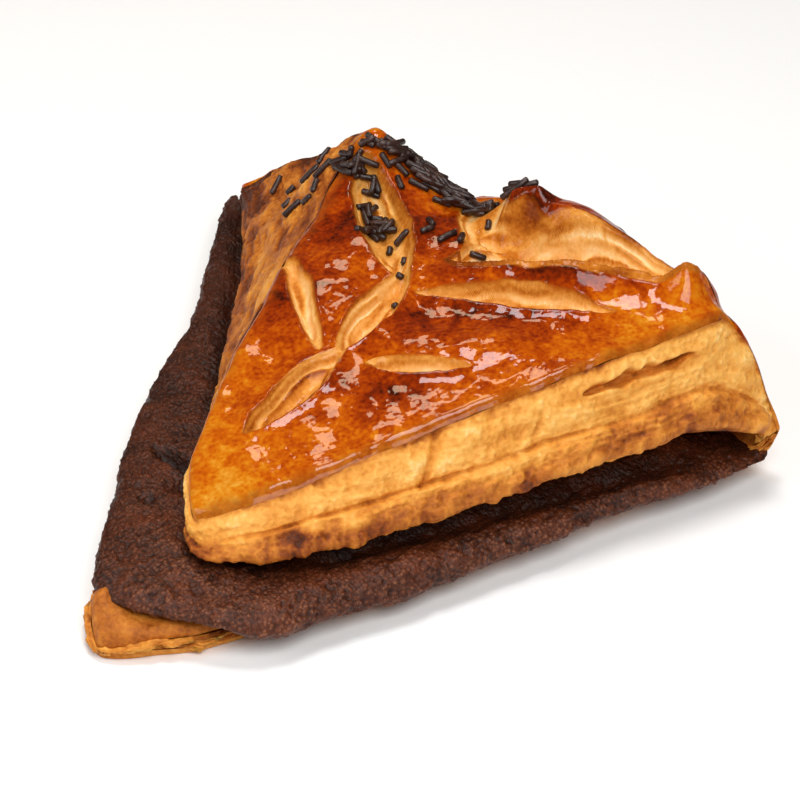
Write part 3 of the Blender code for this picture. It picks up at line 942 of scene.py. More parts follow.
@dataclass(frozen=True)
class UpperSkin:
    """The slashed and glazed upper face, from the open corner to just past the ridge."""

    sheet: FoldedSheet
    reach: float = 0.80
    fade: Point = (0.745, 0.79)  # where the relief ends before the skin does
    bake: float = 0.53
    pale: float = 0.63
    strata: float = 1.6  # spacing of the layers down a slash
    cells: int = 440
    edge_radius: float = 1.5
    slashes: tuple[Slash, ...] = (
        Slash((-7.0, -35.0), (-7.2, -8.0), 3.7, 3.8, 3.6, 0.45),  # the midrib's lowest leaf
        Slash((-7.6, -10.0), (-12.0, 16.5), 3.0, 4.8, 4.0, 0.45),  # its middle leaf
        Slash((-11.0, 14.0), (-38.5, 33.0), 5.2, 4.8, 4.8, 0.5, bluntness=0.6),  # its upper leaf
        Slash((-11.0, -11.0), (-35.0, 6.8), 2.1, 2.1, 2.6, 0.6),  # left vein
        Slash((-0.3, -9.4), (16.6, 0.8), 1.9, 3.0, 3.4, 0.35, 0.3, 1.5),  # first right vein
        Slash((-5.5, 11.6), (28.6, 29.4), 3.0, 2.6, 4.4, 0.28, 0.3, 1.2),  # second right vein
        Slash((-4.5, 21.5), (36.0, 43.5), 9.1, 1.0, 7.4, 0.12, 1.6, 0.7, 0.5, 0.45, 1.9),  # widest
        Slash((-4.0, 26.0), (-20.0, 50.0), 4.5, 6.5, 3.0, 0.5, 0.3, 0.3),  # the hollow behind it
        Slash((-12.0, 33.0), (10.0, 36.0), 4.0, 5.0, 4.4, 0.4, 0.6, 0.0),  # in front of the knob
    )
    paleness: tuple[Patch, ...] = (
        Patch((-7.0, -23.0), -0.22, 6.0, 14.0, 0.0),  # the midrib's lowest leaf is golden
        Patch((-26.0, 25.0), -0.14, 14.0, 6.0, 145.0),
        Patch((-23.0, -2.0), 0.13, 12.0, 4.0, 143.0),  # the left vein is pale
        Patch((8.0, -4.5), 0.06, 8.0, 4.0, 31.0),
        Patch((2.0, 31.0), 0.10, 8.0, 5.0, 31.0),
        Patch((1.2, 40.8), -0.42, 3.2, 2.8, 0.0, 1.4),  # the burnt knob on the flap
    )
    browning: tuple[Patch, ...] = (
        Patch((-33.0, 14.0), 0.22, 17.0, 12.0, 60.0),  # the left panel
        Patch((-26.0, -4.0), 0.26, 8.0, 6.0, 60.0),
        Patch((14.0, 30.5), 0.40, 17.0, 4.0, 31.0),  # the strip's crest
        Patch((-15.0, 27.0), 0.24, 9.0, 7.0, 120.0),  # right of the midrib
        Patch((9.0, -13.0), 0.30, 8.0, 3.5, 31.0),  # below the first right vein
        Patch((-1.0, -15.0), 0.25, 3.0, 5.0, 0.0),
        Patch((2.0, 5.0), 0.16, 9.0, 5.0, 31.0),
        Patch((12.0, 15.0), 0.22, 16.0, 3.0, 28.0),  # the near lip of the second right vein
        Patch((1.2, 40.6), 0.70, 3.4, 3.2, 0.0),  # the burnt knob on the flap
        Patch((20.0, 45.5), 0.30, 13.0, 3.0, 12.0),  # the flap's rim
        Patch((-41.0, 37.0), -0.10, 6.0, 5.0, 0.0),  # the peak
        Patch((0.0, -50.0), -0.34, 14.0, 14.0, 0.0),  # the open corner stays golden
        Patch((-13.0, -30.0), -0.08, 8.0, 8.0, 0.0),
        Patch((33.0, 32.0), -0.14, 9.0, 8.0, 31.0),
        Patch((38.0, 40.0), -0.14, 7.0, 6.0, 0.0),
    )

    def browned(self, points: ndarray) -> ndarray:
        """Say how deeply the crust is baked.

        Args:
            points: Points of the skin.

        Returns:
            0 for gold to 1 for dark red-brown.
        """
        baked = self.bake + patched(self.browning, points)
        return baked + 0.10 * Grain.fractal(points, 7.0, 3, 21)

    def edge_fall(self, s: ndarray, t: ndarray, points: ndarray) -> ndarray:
        """Roll the skin over its two cut edges.

        Args:
            s: Distance over the fold.
            t: Fraction across.
            points: The skin's points.

        Returns:
            The points, turned down within the edge radius of both sides.
        """
        a = np.minimum(s / self.sheet.ridge, 1.0)
        left, right = (self.sheet.skin.side(end, a) for end in (False, True))
        width = np.linalg.norm(right - left, axis=-1)
        fallen = points
        for edge, share in ((0.0, t), (1.0, 1.0 - t)):
            drop = self.sheet.rounded(share * width * 0.85, self.edge_radius)
            side = np.full_like(s, edge)
            down = unit(self.sheet.inner(s, side) - self.sheet.outer(s, side))
            fallen = fallen + down * drop[..., None]
        return fallen

    def build(self, crust: Material) -> Object:
        """Make the skin.

        Args:
            crust: The glazed finish.

        Returns:
            The skin's object.
        """
        grid = GridSheet("upper_skin", self.cells, self.cells)
        grid.keep_triangle()
        s, t = self.sheet.folded(grid.x * self.reach, grid.y * self.reach)
        flat = self.sheet.outer(s, t)
        depth, lips, cut, down = (np.zeros_like(s) for _ in range(4))
        for slash in self.slashes:
            d, lip, inside, place = slash.cut(flat)
            deeper = d > depth
            depth, down = np.where(deeper, d, depth), np.where(deeper, place, down)
            lips, cut = np.maximum(lips, lip), np.maximum(cut, inside)
        here = 1.0 - smooth(s, *self.fade)
        wander = 1.6 * Grain.value(flat, 7.0, 31)
        strata = np.sin(2 * math.pi * depth / self.strata + 2.0 * wander)
        strata = strata * smooth(Grain.value(flat, 6.0, 32), -0.6, 0.3)
        depth = depth + cut * 0.32 * strata * smooth(depth, 0.3, 1.2)
        skin = 1.0 - cut
        swell = 0.50 * Grain.value(flat, 9.5, 11) + 0.09 * Grain.fractal(flat, 4.0, 2, 13)
        swell = swell + 0.12 * Grain.blisters(flat, 5.0, 12) + 0.03 * Grain.blisters(flat, 1.8, 15)
        rough = 0.22 * Grain.fractal(flat, 2.0, 3, 24)
        grid.points = self.edge_fall(s, t, self.sheet.uneven(flat))
        side = np.minimum(t, 1.0 - t)
        inner_share = smooth(side * 90.0 * np.maximum(s, 0.02), 0.0, 3.0)
        relief = skin * swell * inner_share + cut * rough + lips * (1.0 - cut * 0.5) - depth
        grid.points[..., 2] += relief * here
        edge = side * 128.0 * np.maximum(s, 0.01)
        baked = self.browned(flat) + 0.16 * np.minimum(lips, 1.2) + 0.22 * (swell - 0.1)
        baked = np.minimum(baked - 0.10 * np.exp(-edge / 3.0), 0.93)
        streak = Grain.fractal(np.dstack([flat[..., :2] / 12.0, depth / 0.9]), 1.0, 2, 33)
        tone = (
            self.pale
            + patched(self.paleness, flat)
            + 0.25 * strata * smooth(depth, 0.3, 1.2)
            + 0.22 * streak
            + 0.10 * Grain.fractal(flat, 5.0, 2, 35)
            # painted shade: the deeper part of each slash, past its torn step, is darker
            - 0.09 * smooth(down, 0.6, 1.0)
            - 0.30 * np.exp(-down / 0.12)
        )
        band = 0.85 * np.exp(-((edge / (1.3 + 0.5 * Grain.value(flat, 2.5, 37))) ** 2)) * skin
        band = band * (0.5 + 0.5 * smooth(t, 0.4, 0.6))
        tone = tone * cut + (0.24 + 0.08 * Grain.value(flat, 1.5, 38)) * skin
        cut = np.maximum(cut, band)
        grid.painted = {"bake": baked, "cut": cut * here, "tone": tone}
        return grid.finish(crust, (0.0, 0.0, -40.0), Facing.OUT, close=False)


@dataclass(frozen=True)
class FoldAndBase:
    """The skin behind the ridge, round the fold and under the whole turnover."""

    sheet: FoldedSheet
    skin: UpperSkin
    cells: tuple[int, int] = (260, 220)
    middle: Place = (0.0, 0.0, 15.0)
    overlap: float = 0.008  # how far it starts under the upper skin

    def build(self, crust: Material) -> Object:
        """Make the back and the base.

        Args:
            crust: The glazed finish, which is golden and duller low down.

        Returns:
            The object.
        """
        grid = GridSheet("fold_and_base", *self.cells)
        start = self.skin.reach - self.overlap
        s, t = start + (2.0 - start) * grid.x**1.15, grid.y
        flat = self.sheet.outer(s, t)
        grid.points = self.skin.edge_fall(s, t, self.sheet.uneven(flat))
        normal = grid.normals(flat - np.array(self.middle))
        upper = smooth(flat[..., 2], 0.5, 4.0)
        swell = 0.30 * Grain.fractal(flat, 6.5, 3, 11) + 0.25 * Grain.blisters(flat, 4.2, 12)
        sunk = -0.12 * (1.0 - smooth(s, self.skin.reach, self.skin.reach + 0.03))
        grid.points = grid.points + normal * (swell * upper + sunk)[..., None]
        grid.points[..., 2] = np.maximum(grid.points[..., 2], 0.0)
        baked = 0.52 - 0.26 * smooth(s, 0.85, 1.1) + 0.12 * Grain.fractal(flat, 8.0, 3, 22)
        spots = smooth(Grain.fractal(flat, 5.0, 3, 23), -0.2, 0.8)
        baked = baked + 0.25 * smooth(s, 1.1, 1.3) * spots
        end = smooth(s, 0.84, 0.97) * np.exp(-(((1.0 - t) * 130.0 / 7.0) ** 2))
        bare = np.maximum(smooth(s, 1.12, 1.24), end)
        tone = 0.30 + 0.16 * end + 0.12 * Grain.fractal(flat, 6.0, 3, 25)
        grid.painted = {"bake": baked, "cut": bare, "tone": tone}
        return grid.finish(crust, self.middle, Facing.OUT, close=True)


@dataclass(frozen=True)
class CutEdge:
    """One of the sheet's cut edges, left end at the fold, round the open corner, right end."""

    sheet: FoldedSheet
    skin: UpperSkin
    upper: bool
    cells: tuple[int, int] = (1000, 92)
    stand_out: tuple[Point, ...] = ((0.0, 0.0), (0.16, 2.4), (0.42, 1.6), (0.74, 1.2), (1.0, 0.0))
    crack: tuple[Place, Place] = ((35.0, 11.0, 30.6), (44.0, 33.5, 31.0))
    crack_size: tuple[float, float] = (1.1, 3.4)
    crease: tuple[float, float, float, float] = (10.0, -15.4, 28.3, 0.93)
    leaf: float = 0.85
    pale: float = 0.69
    blur: int = 31

    def stands(self, w: ndarray) -> ndarray:
        """Say how far the wall stands out.

        Args:
            w: Fraction of its height, from its foot.

        Returns:
            Distances out of the plane between its two edges.
        """
        total = np.zeros_like(w)
        for (w0, out0), (w1, out1) in itertools.pairwise(self.stand_out):
            share = smooth(w, w0, w1)
            total = np.where((w >= w0) & (w <= w1), out0 + (out1 - out0) * share, total)
        return total

    def cracked(self, points: ndarray) -> ndarray:
        """Find the crack in the upper wall.

        Args:
            points: Points of the wall.

        Returns:
            Each point's share of the crack, 1 at its middle.
        """
        start, end = np.array(self.crack[0]), np.array(self.crack[1])
        along = end[:2] - start[:2]
        f = (points[..., :2] - start[:2]) @ along / along.dot(along)
        line = start[2] + (end[2] - start[2]) * f + 0.5 * Grain.value(points, 4.0, 71)
        wide = self.crack_size[0] * np.clip(np.sin(math.pi * np.clip(f, 0.0, 1.0)), 0.0, 1.0) ** 0.7
        wide = wide * (1.0 + 0.5 * Grain.value(points, 2.0, 72))
        return smooth(wide - np.abs(points[..., 2] - line), -0.25, 0.35) * (wide > 0.02)

    def build(self, layers: Material) -> Object:
        """Make the edge.

        Args:
            layers: The finish of the cut layers.

        Returns:
            The object.
        """
        grid = GridSheet("upper_cut_edge" if self.upper else "lower_cut_edge", *self.cells)
        q, w = grid.x * 2.0 - 1.0, grid.y
        s = np.abs(q) if self.upper else 2.0 - np.abs(q)
        t = (q > 0.0).astype(float)
        outer, inner = self.sheet.outer(s, t), self.sheet.inner(s, t)
        height = np.linalg.norm(inner - outer, axis=-1)
        fall = np.minimum(self.skin.edge_radius, height * 0.3)
        outer = outer + unit(inner - outer) * fall[..., None]
        if not self.upper:
            inner[..., 2] -= self.sheet.nub_rim(s, t)
        middle = (outer + inner)[:, 0, :2] / 2
        tangent = np.gradient(middle, axis=0)
        tangent = unit(np.column_stack([blurred(tangent[:, k], self.blur) for k in (0, 1)]))
        outward = np.zeros_like(outer)
        outward[..., 0], outward[..., 1] = tangent[:, 1, None], -tangent[:, 0, None]
        stands = self.stands(w) * (1.0 if self.upper else 0.4)
        flat = inner + (outer - inner) * w[..., None] + outward * stands[..., None]
        grid.points = self.sheet.uneven(flat)
        normal = grid.normals(outward)
        run = np.broadcast_to(run_along(middle)[:, None], w.shape)
        rise = w * height
        wander = 1.1 * Grain.value(flat, 14.0, 81)
        zero = np.zeros_like(w)
        layered = np.dstack([run / 8.0, (rise + wander) / self.leaf, zero])
        leaves = Grain.fractal(layered, 1.0, 2, 82)
        lumps = Grain.fractal(flat, (5.0, 5.0, 3.0), 2, 84)
        pores = Grain.fractal(flat, 0.9, 2, 86)
        fade = np.minimum(smooth(w, 0.0, 0.05), smooth(1.0 - w, 0.0, 0.04))
        strands = Grain.value(np.dstack([run / 1.1, rise / 4.5, zero]), 1.0, 87)
        strands = strands * smooth(Grain.value(flat, 9.0, 92), -0.2, 0.4)
        relief = 0.15 * leaves + 0.42 * lumps + 0.20 * pores + 0.30 * strands
        tone = self.pale + 0.06 * leaves + 0.12 * lumps + 0.09 * pores + 0.11 * strands
        if self.upper:
            right = smooth(q, 0.03, 0.14) * (1.0 - smooth(q, 0.93, 1.0))
            left = smooth(-q, 0.05, 0.3)
            ledge = 0.57 - 0.14 * smooth(q, 0.06, 0.3)
            ledge = ledge + 0.05 * Grain.value(np.dstack([run, zero, zero]), 16.0, 88)
            lip = right * (1.0 - smooth(w, ledge - 0.07, ledge + 0.02))
            groove = right * np.exp(-(((w - ledge) / 0.03) ** 2))
            bubbles = Grain.blisters(np.dstack([run, rise * 1.4, w]), 4.5, 94)
            crack = self.cracked(flat) * (q > 0.3)
            x0, y0, z0, slant = self.crease
            across = (flat[..., 1] - y0) - (flat[..., 2] - z0) * slant
            crease = right * (w > ledge - 0.05) * (flat[..., 0] > x0)
            crease = crease * np.exp(-((across / 0.8) ** 2))
            relief = (
                relief
                + lip * (0.9 + 0.7 * bubbles) * smooth(w, 0.0, 0.12)
                - 0.7 * groove
                - self.crack_size[1] * crack
                - 1.1 * crease * fade
                - 0.24 * strands * lip
            )
            blotch = Grain.fractal(flat, 3.0, 3, 89)
            uneven = w + 0.09 * Grain.fractal(flat, 4.5, 3, 100)
            browned = right * (1.0 - smooth(uneven, ledge - 0.28, ledge + 0.05))
            patchy = smooth(Grain.fractal(flat, (7.0, 7.0, 3.0), 3, 96), 0.0, 0.8)
            burnt = 0.14 + 0.08 * Grain.fractal(flat, 2.2, 3, 90)
            nose = np.exp(-((q / 0.09) ** 2)) * (burnt + 0.42 * (1.0 - smooth(w, 0.3, 0.62)))
            far = smooth(q, 0.5, 0.6) * (1.0 - smooth(q, 0.84, 0.95))
            tan = (
                browned * (0.23 + 0.20 * (1.0 - smooth(q, 0.3, 0.62)) + 0.06 * blotch)
                # painted shade: the groove above the lip, the crack and the crease are darkened
                + 0.18 * groove
                + 0.24 * crack
                + 0.20 * crease
                + 0.08 * right * smooth(w, 0.66, 0.98) * (1.0 - smooth(q, 0.5, 0.75))
                + right * 0.08 * patchy
                + 0.16 * np.exp(-(rise / 1.4)) * right
                + 0.30 * np.exp(-(((1.0 - w) * height / 0.9) ** 2))
                + nose * (1.0 - smooth(w, 0.6, 0.95)) * (1.0 - 0.7 * lip)
                + 0.14 * smooth(-q, 0.70, 0.95)
                # partly browning, partly painted shade: the left wall, turned from the main light,
                # is darkened, more so low down
                + left * (0.39 + 0.18 * Grain.fractal(flat, (9.0, 9.0, 3.0), 2, 91))
                + left * 0.20 * (1.0 - smooth(w, 0.0, 0.4))
                + 0.08 * smooth(q, 0.9, 1.0) * (1.0 - smooth(w, 0.1, 0.7))
                + 0.12 * lip * far * (1.0 + 0.4 * blotch)
            )
            tone = tone - tan
        else:
            flaky = np.abs(Grain.value(layered * 1.6, 1.0, 93))
            ragged = Grain.fractal(flat, (3.0, 3.0, 1.2), 3, 99)
            relief = relief + 0.9 * (flaky - 0.4) + 0.7 * ragged
            tone = tone - 0.34 + 0.22 * (flaky - 0.3) + 0.12 * ragged
        grid.points = grid.points + normal * (relief * fade)[..., None]
        grid.points[..., 2] = np.maximum(grid.points[..., 2], 0.0)
        grid.painted = {"tone": tone}
        return grid.finish(layers, (-8.0, 0.0, 12.0), Facing.OUT, close=True)


@dataclass(frozen=True)
class InnerFaces:
    """The two faces that hold the cocoa layer, and the nub of the lower half's open corner."""

    sheet: FoldedSheet
    cells: int = 260
    gather: float = 1.7  # how much finer the cells get towards the nub

    def build(self, layers: Material) -> Object:
        """Make the inner faces, with finer cells towards the nub.

        Args:
            layers: The finish of the cut layers.

        Returns:
            The object.
        """
        grid = GridSheet("inner_faces", self.cells, self.cells)
        u, v = (1.0 - (1.0 - place) ** self.gather for place in (grid.x, grid.y))
        s, t = self.sheet.folded(u, v)
        flat = self.sheet.inner(s, t)
        points = self.sheet.uneven(flat)
        nub = self.sheet.nub(s)
        away = (1.0 - np.maximum(u, v)) * self.sheet.free_side
        points[..., 2] -= self.sheet.rounded(away, self.sheet.nub_rim(s, t))
        edge = smooth(np.minimum(u, v), 0.0, 0.02) * smooth(1.0 - np.maximum(u, v), 0.0, 0.02)
        wrinkles = 0.35 * Grain.fractal(flat, 3.5, 3, 95)
        wrinkles = wrinkles + 0.25 * Grain.value(flat, (1.2, 5.0, 2.0), 96)
        points[..., 2] += nub * wrinkles * edge
        points[..., 2] += (1.0 - nub) * 0.3 * Grain.fractal(flat, 5.0, 2, 97) * edge
        grid.points = points
        tone = 0.30 + 0.12 * Grain.fractal(flat, 4.0, 3, 98) + 0.14 * wrinkles * nub
        grid.painted = {"tone": tone}
        return grid.finish(layers, (0.0, 100.0, 9.0), Facing.IN, close=True)


@dataclass(frozen=True)
class CocoaLayer:
    """The cocoa cake between the halves: a slab with a rounded edge that bulges out all round."""

    sheet: FoldedSheet
    corners: tuple[tuple[Point, float, float], ...] = (
        ((-10.0, -73.4), 7.0, 0.6),
        ((20.0, -61.2), 15.0, 0.9),
        ((56.6, 48.6), 3.8, 4.0),
        ((-76.0, 34.5), 6.0, 0.0),
        ((-97.0, 54.5), 2.2, 1.0),
    )
    sway: float = 2.1  # the S-curve of the left side
    centre: Point = (-12.0, 4.0)
    middle_z: float = 8.0
    top: float = 11.9
    right_drop: float = 4.0
    under: float = 0.5  # height of the underside beyond the sheet
    clear: float = 0.7  # gap between the sheet and the underside
    step_margin: float = 2.5
    step: float = 9.0  # distance over which the underside comes down
    lumps: float = 0.5
    girth: float = 480.0  # length round the layer, for its crumb
    gap_shift: Point = (-2.8, 1.2)
    gap_width: float = 2.9
    cells: tuple[int, int] = (1020, 96)
    spacing: tuple[float, ...] = (
        (0.0, 0.02, 0.05, 0.24, 0.40, 0.50, 0.60, 0.70, 0.80, 0.88, 0.93, 0.96, 0.98, 1.0)
    )
    shares: tuple[float, ...] = (
        (0.0, 0.40, 0.70, 0.84, 0.92, 0.965, 0.99, 1.0, 0.985, 0.95, 0.85, 0.70, 0.40, 0.0)
    )
    rolls: tuple[float, ...] = (
        (1.0, 1.0, 1.0, 1.0, 0.97, 0.86, 0.66, 0.42, 0.16, 0.0, 0.0, 0.0, 0.0, 0.0)
    )
    blur: int = 41
    dents: tuple[Patch, ...] = (
        Patch((-24.2, -36.2), -3.4, 5.8, 1.9, 0.0, 2.0),  # the hollow beside the left side
        Patch((-17.8, -40.5), -2.0, 3.6, 2.4, 62.0),
        Patch((-19.8, -48.8), -1.9, 1.5, 1.2, 20.0),  # the pit
        Patch((16.0, -35.5), -2.0, 4.0, 1.6, 62.0),  # the notch
        Patch((33.5, -19.5), -0.9, 2.6, 0.5, 30.0),  # small cracks
        Patch((36.0, -14.5), -0.8, 2.2, 0.5, 25.0),
        Patch((37.5, 2.0), -0.8, 1.8, 0.4, 25.0),
    )

    def outline(self, count: int) -> ndarray:
        """Give plan points round the layer: bowed sides with rounded corners.

        Args:
            count: How many points.

        Returns:
            The points, evenly spaced, the first one repeated at the end.
        """
        corners = [np.array(corner) for corner, _, _ in self.corners]
        sides = len(corners)
        path = []
        for k, (_, radius, bow) in enumerate(self.corners):
            here, after, later = corners[k], corners[(k + 1) % sides], corners[(k + 2) % sides]
            reach, entry, leave = self._corner(corners[k - 1], here, after, radius)
            for f in np.linspace(0.0, 1.0, 9):
                path.append(here + entry * reach * (1 - f) ** 2 + leave * reach * f**2)
            next_reach, back, _ = self._corner(here, after, later, self.corners[(k + 1) % sides][1])
            start, stop = here + leave * reach, after + back * next_reach
            outward = np.array((leave[1], -leave[0]))
            sway = self.sway if k == sides - 1 else 0.0
            for f in np.linspace(0.0, 1.0, 24)[1:-1]:
                out = bow * math.sin(math.pi * f) - sway * math.sin(2 * math.pi * f)
                path.append(start + (stop - start) * f + outward * out)
        path = np.array(path + path[:1])
        run = run_along(path)
        wanted = np.linspace(0.0, run[-1], count + 1)
        return np.column_stack([np.interp(wanted, run, path[:, m]) for m in (0, 1)])

    @staticmethod
    def _corner(before: ndarray, here: ndarray, after: ndarray, radius: float) -> tuple:
        """Work out a rounded corner.

        Args:
            before: The corner before it.
            here: The corner.
            after: The corner after it.
            radius: How round it is.

        Returns:
            How far from it the rounding starts, and the unit vectors along its two sides.
        """
        entry, leave = unit(before - here), unit(after - here)
        return radius / math.tan(math.acos(entry.dot(leave)) / 2), entry, leave

    def moat(self, plan: ndarray) -> ndarray:
        """Find the gap that runs under the edge of the upper half.

        Args:
            plan: Plan points.

        Returns:
            Each point's share of the gap, 1 at its middle.
        """
        sides = [self.sheet.foot.side(right, np.linspace(0.0, 1.0, 120)) for right in (False, True)]
        sides[1] = sides[1] + np.array(self.gap_shift)
        nearest = np.full(plan.shape[:-1], 1e9)
        for place in np.concatenate(sides):
            nearest = np.minimum(nearest, ((plan - place) ** 2).sum(axis=-1))
        return smooth(plan[..., 1], -64.0, -30.0) * np.exp(-nearest / self.gap_width**2)

    def upper(self, plan: ndarray) -> ndarray:
        """Give the height of the layer's upper face, which drops to the right.

        Args:
            plan: Plan points.

        Returns:
            One height for each point.
        """
        corner, end = np.array(self.sheet.foot.corner), np.array(self.sheet.foot.right_end)
        along = unit(end - corner)
        distance = (plan[..., 0] - corner[0]) * along[1] - (plan[..., 1] - corner[1]) * along[0]
        drop = self.right_drop * np.clip((distance + 24.0) / 24.0, 0.0, 1.0) ** 2
        back = np.clip((plan[..., 1] - 20.0) / 30.0, 0.0, 1.0)
        back = back * np.clip((plan[..., 0] + 85.0) / 20.0, 0.0, 1.0)
        return self.top - drop * (0.35 + 0.65 * back) - 2.6 * back

    def lower(self, plan: ndarray) -> ndarray:
        """Give the height of the lower face, which rests on the sheet and hangs beyond it.

        Args:
            plan: Plan points.

        Returns:
            One height for each point.
        """
        half = self.sheet.lower
        corner = np.array(half.corner)
        cover = np.ones(plan.shape[:-1])
        for end, other, bow in (
            (half.left_end, half.right_end, half.left_bow),
            (half.right_end, half.left_end, half.right_bow),
        ):
            along, across = unit(np.array(end) - corner), np.array(other) - corner
            inward = unit(across - across.dot(along) * along)
            past = (plan - corner) @ inward + bow + self.step_margin
            cover = np.minimum(cover, np.clip(past / self.step + 1.0, 0.0, 1.0))
        return self.under + (self.sheet.lower_z + self.clear - self.under) * cover

    def build(self, cake: Material) -> Object:
        """Make the layer.

        Args:
            cake: The cocoa finish.

        Returns:
            The object.
        """
        grid = GridSheet("cocoa_layer", *self.cells)
        outline = self.outline(self.cells[0])
        phase = np.linspace(0.0, 2 * math.pi, self.cells[0] + 1)
        centre = np.array(self.centre)
        waves = self.lumps * (np.sin(phase * 7 + 1.0) + 0.7 * np.sin(phase * 13 + 2.2))
        outline = outline + unit(outline - centre) * waves[:, None]
        fine = np.linspace(0.0, 1.0, 800)
        share, roll = (
            np.interp(grid.y[0], fine, blurred(np.interp(fine, self.spacing, line), self.blur))
            for line in (self.shares, self.rolls)
        )
        share[0] = share[-1] = 0.0
        plan = centre + (outline - centre)[:, None, :] * share[None, :, None]
        top, under = self.upper(plan), self.lower(plan)
        flat = np.dstack([plan, under + (top - under) * roll])
        grid.points = flat
        normal = grid.normals(flat - np.array((*self.centre, self.middle_z)))
        open_part = smooth(share, 0.5, 0.72)
        lumps = Grain.fractal(flat, 7.0, 2, 101)
        steps = np.linalg.norm(np.diff(flat, axis=1), axis=-1).mean(axis=0)
        arc = np.broadcast_to(np.append(0.0, np.cumsum(steps)), grid.x.shape)
        around = phase[:, None] / (2 * math.pi) * self.girth * np.maximum(share, 0.05)
        table = np.dstack([around, arc, np.zeros_like(arc)])
        crumb = Grain.fractal(flat, 1.8, 2, 103)
        grains = Grain.blisters(table, 2.3, 110) + 0.7 * Grain.blisters(table, 1.25, 114)
        pits = smooth(Grain.value(flat, 1.2, 107), 0.5, 0.9)
        pits = pits + 0.9 * smooth(Grain.value(flat, 2.8, 108), 0.5, 0.9)
        dents = patched(self.dents, flat) * smooth(roll, 0.4, 0.9)
        relief = (0.50 * lumps + 0.20 * crumb + 0.30 * grains - 0.45 * pits) * open_part
        gap = self.moat(plan) * smooth(roll, 0.6, 0.95)
        dents = dents - gap * np.clip(top - under - 2.0, 0.0, 2.0) * (1.0 + 0.5 * lumps)
        points = flat + normal * relief[..., None]
        points[..., 2] = np.maximum(points[..., 2] + dents * open_part, 0.15)
        points[..., 2] = np.minimum(points[..., 2], flat[..., 2] + 0.9)
        points[:, 0] = points[:, 0].mean(axis=0)
        points[:, -1] = points[:, -1].mean(axis=0)
        points[-1] = points[0]
        grid.points = points
        # painted shade: the cake is darkened towards the left, the side turned from the main light
        painted_left_shade = smooth(-flat[..., 0] - 0.3 * flat[..., 1], 10.0, 60.0)
        tone = (
            0.16
            + 0.05 * crumb
            + 0.06 * grains
            # painted shade: the pits and dents are darkened as well as sunk
            - 0.16 * pits
            + 0.04 * lumps
            + 0.09 * dents
            - 0.16 * painted_left_shade
            # painted shade: the cake is darkened in the gap under the upper half's edge
            - 0.26 * gap
        )
        grid.painted = {"tone": tone}
        return grid.finish(cake, (*self.centre, self.middle_z), Facing.OUT, close=True)


@dataclass(frozen=True)
class Sprinkling:
    """A patch of vermicelli: middle, half length, half width, heading and its spread, how many."""

    middle: Point
    half_length: float
    half_width: float
    heading: float
    spread: float
    count: int
    lengths: Point = (4.0, 7.0)


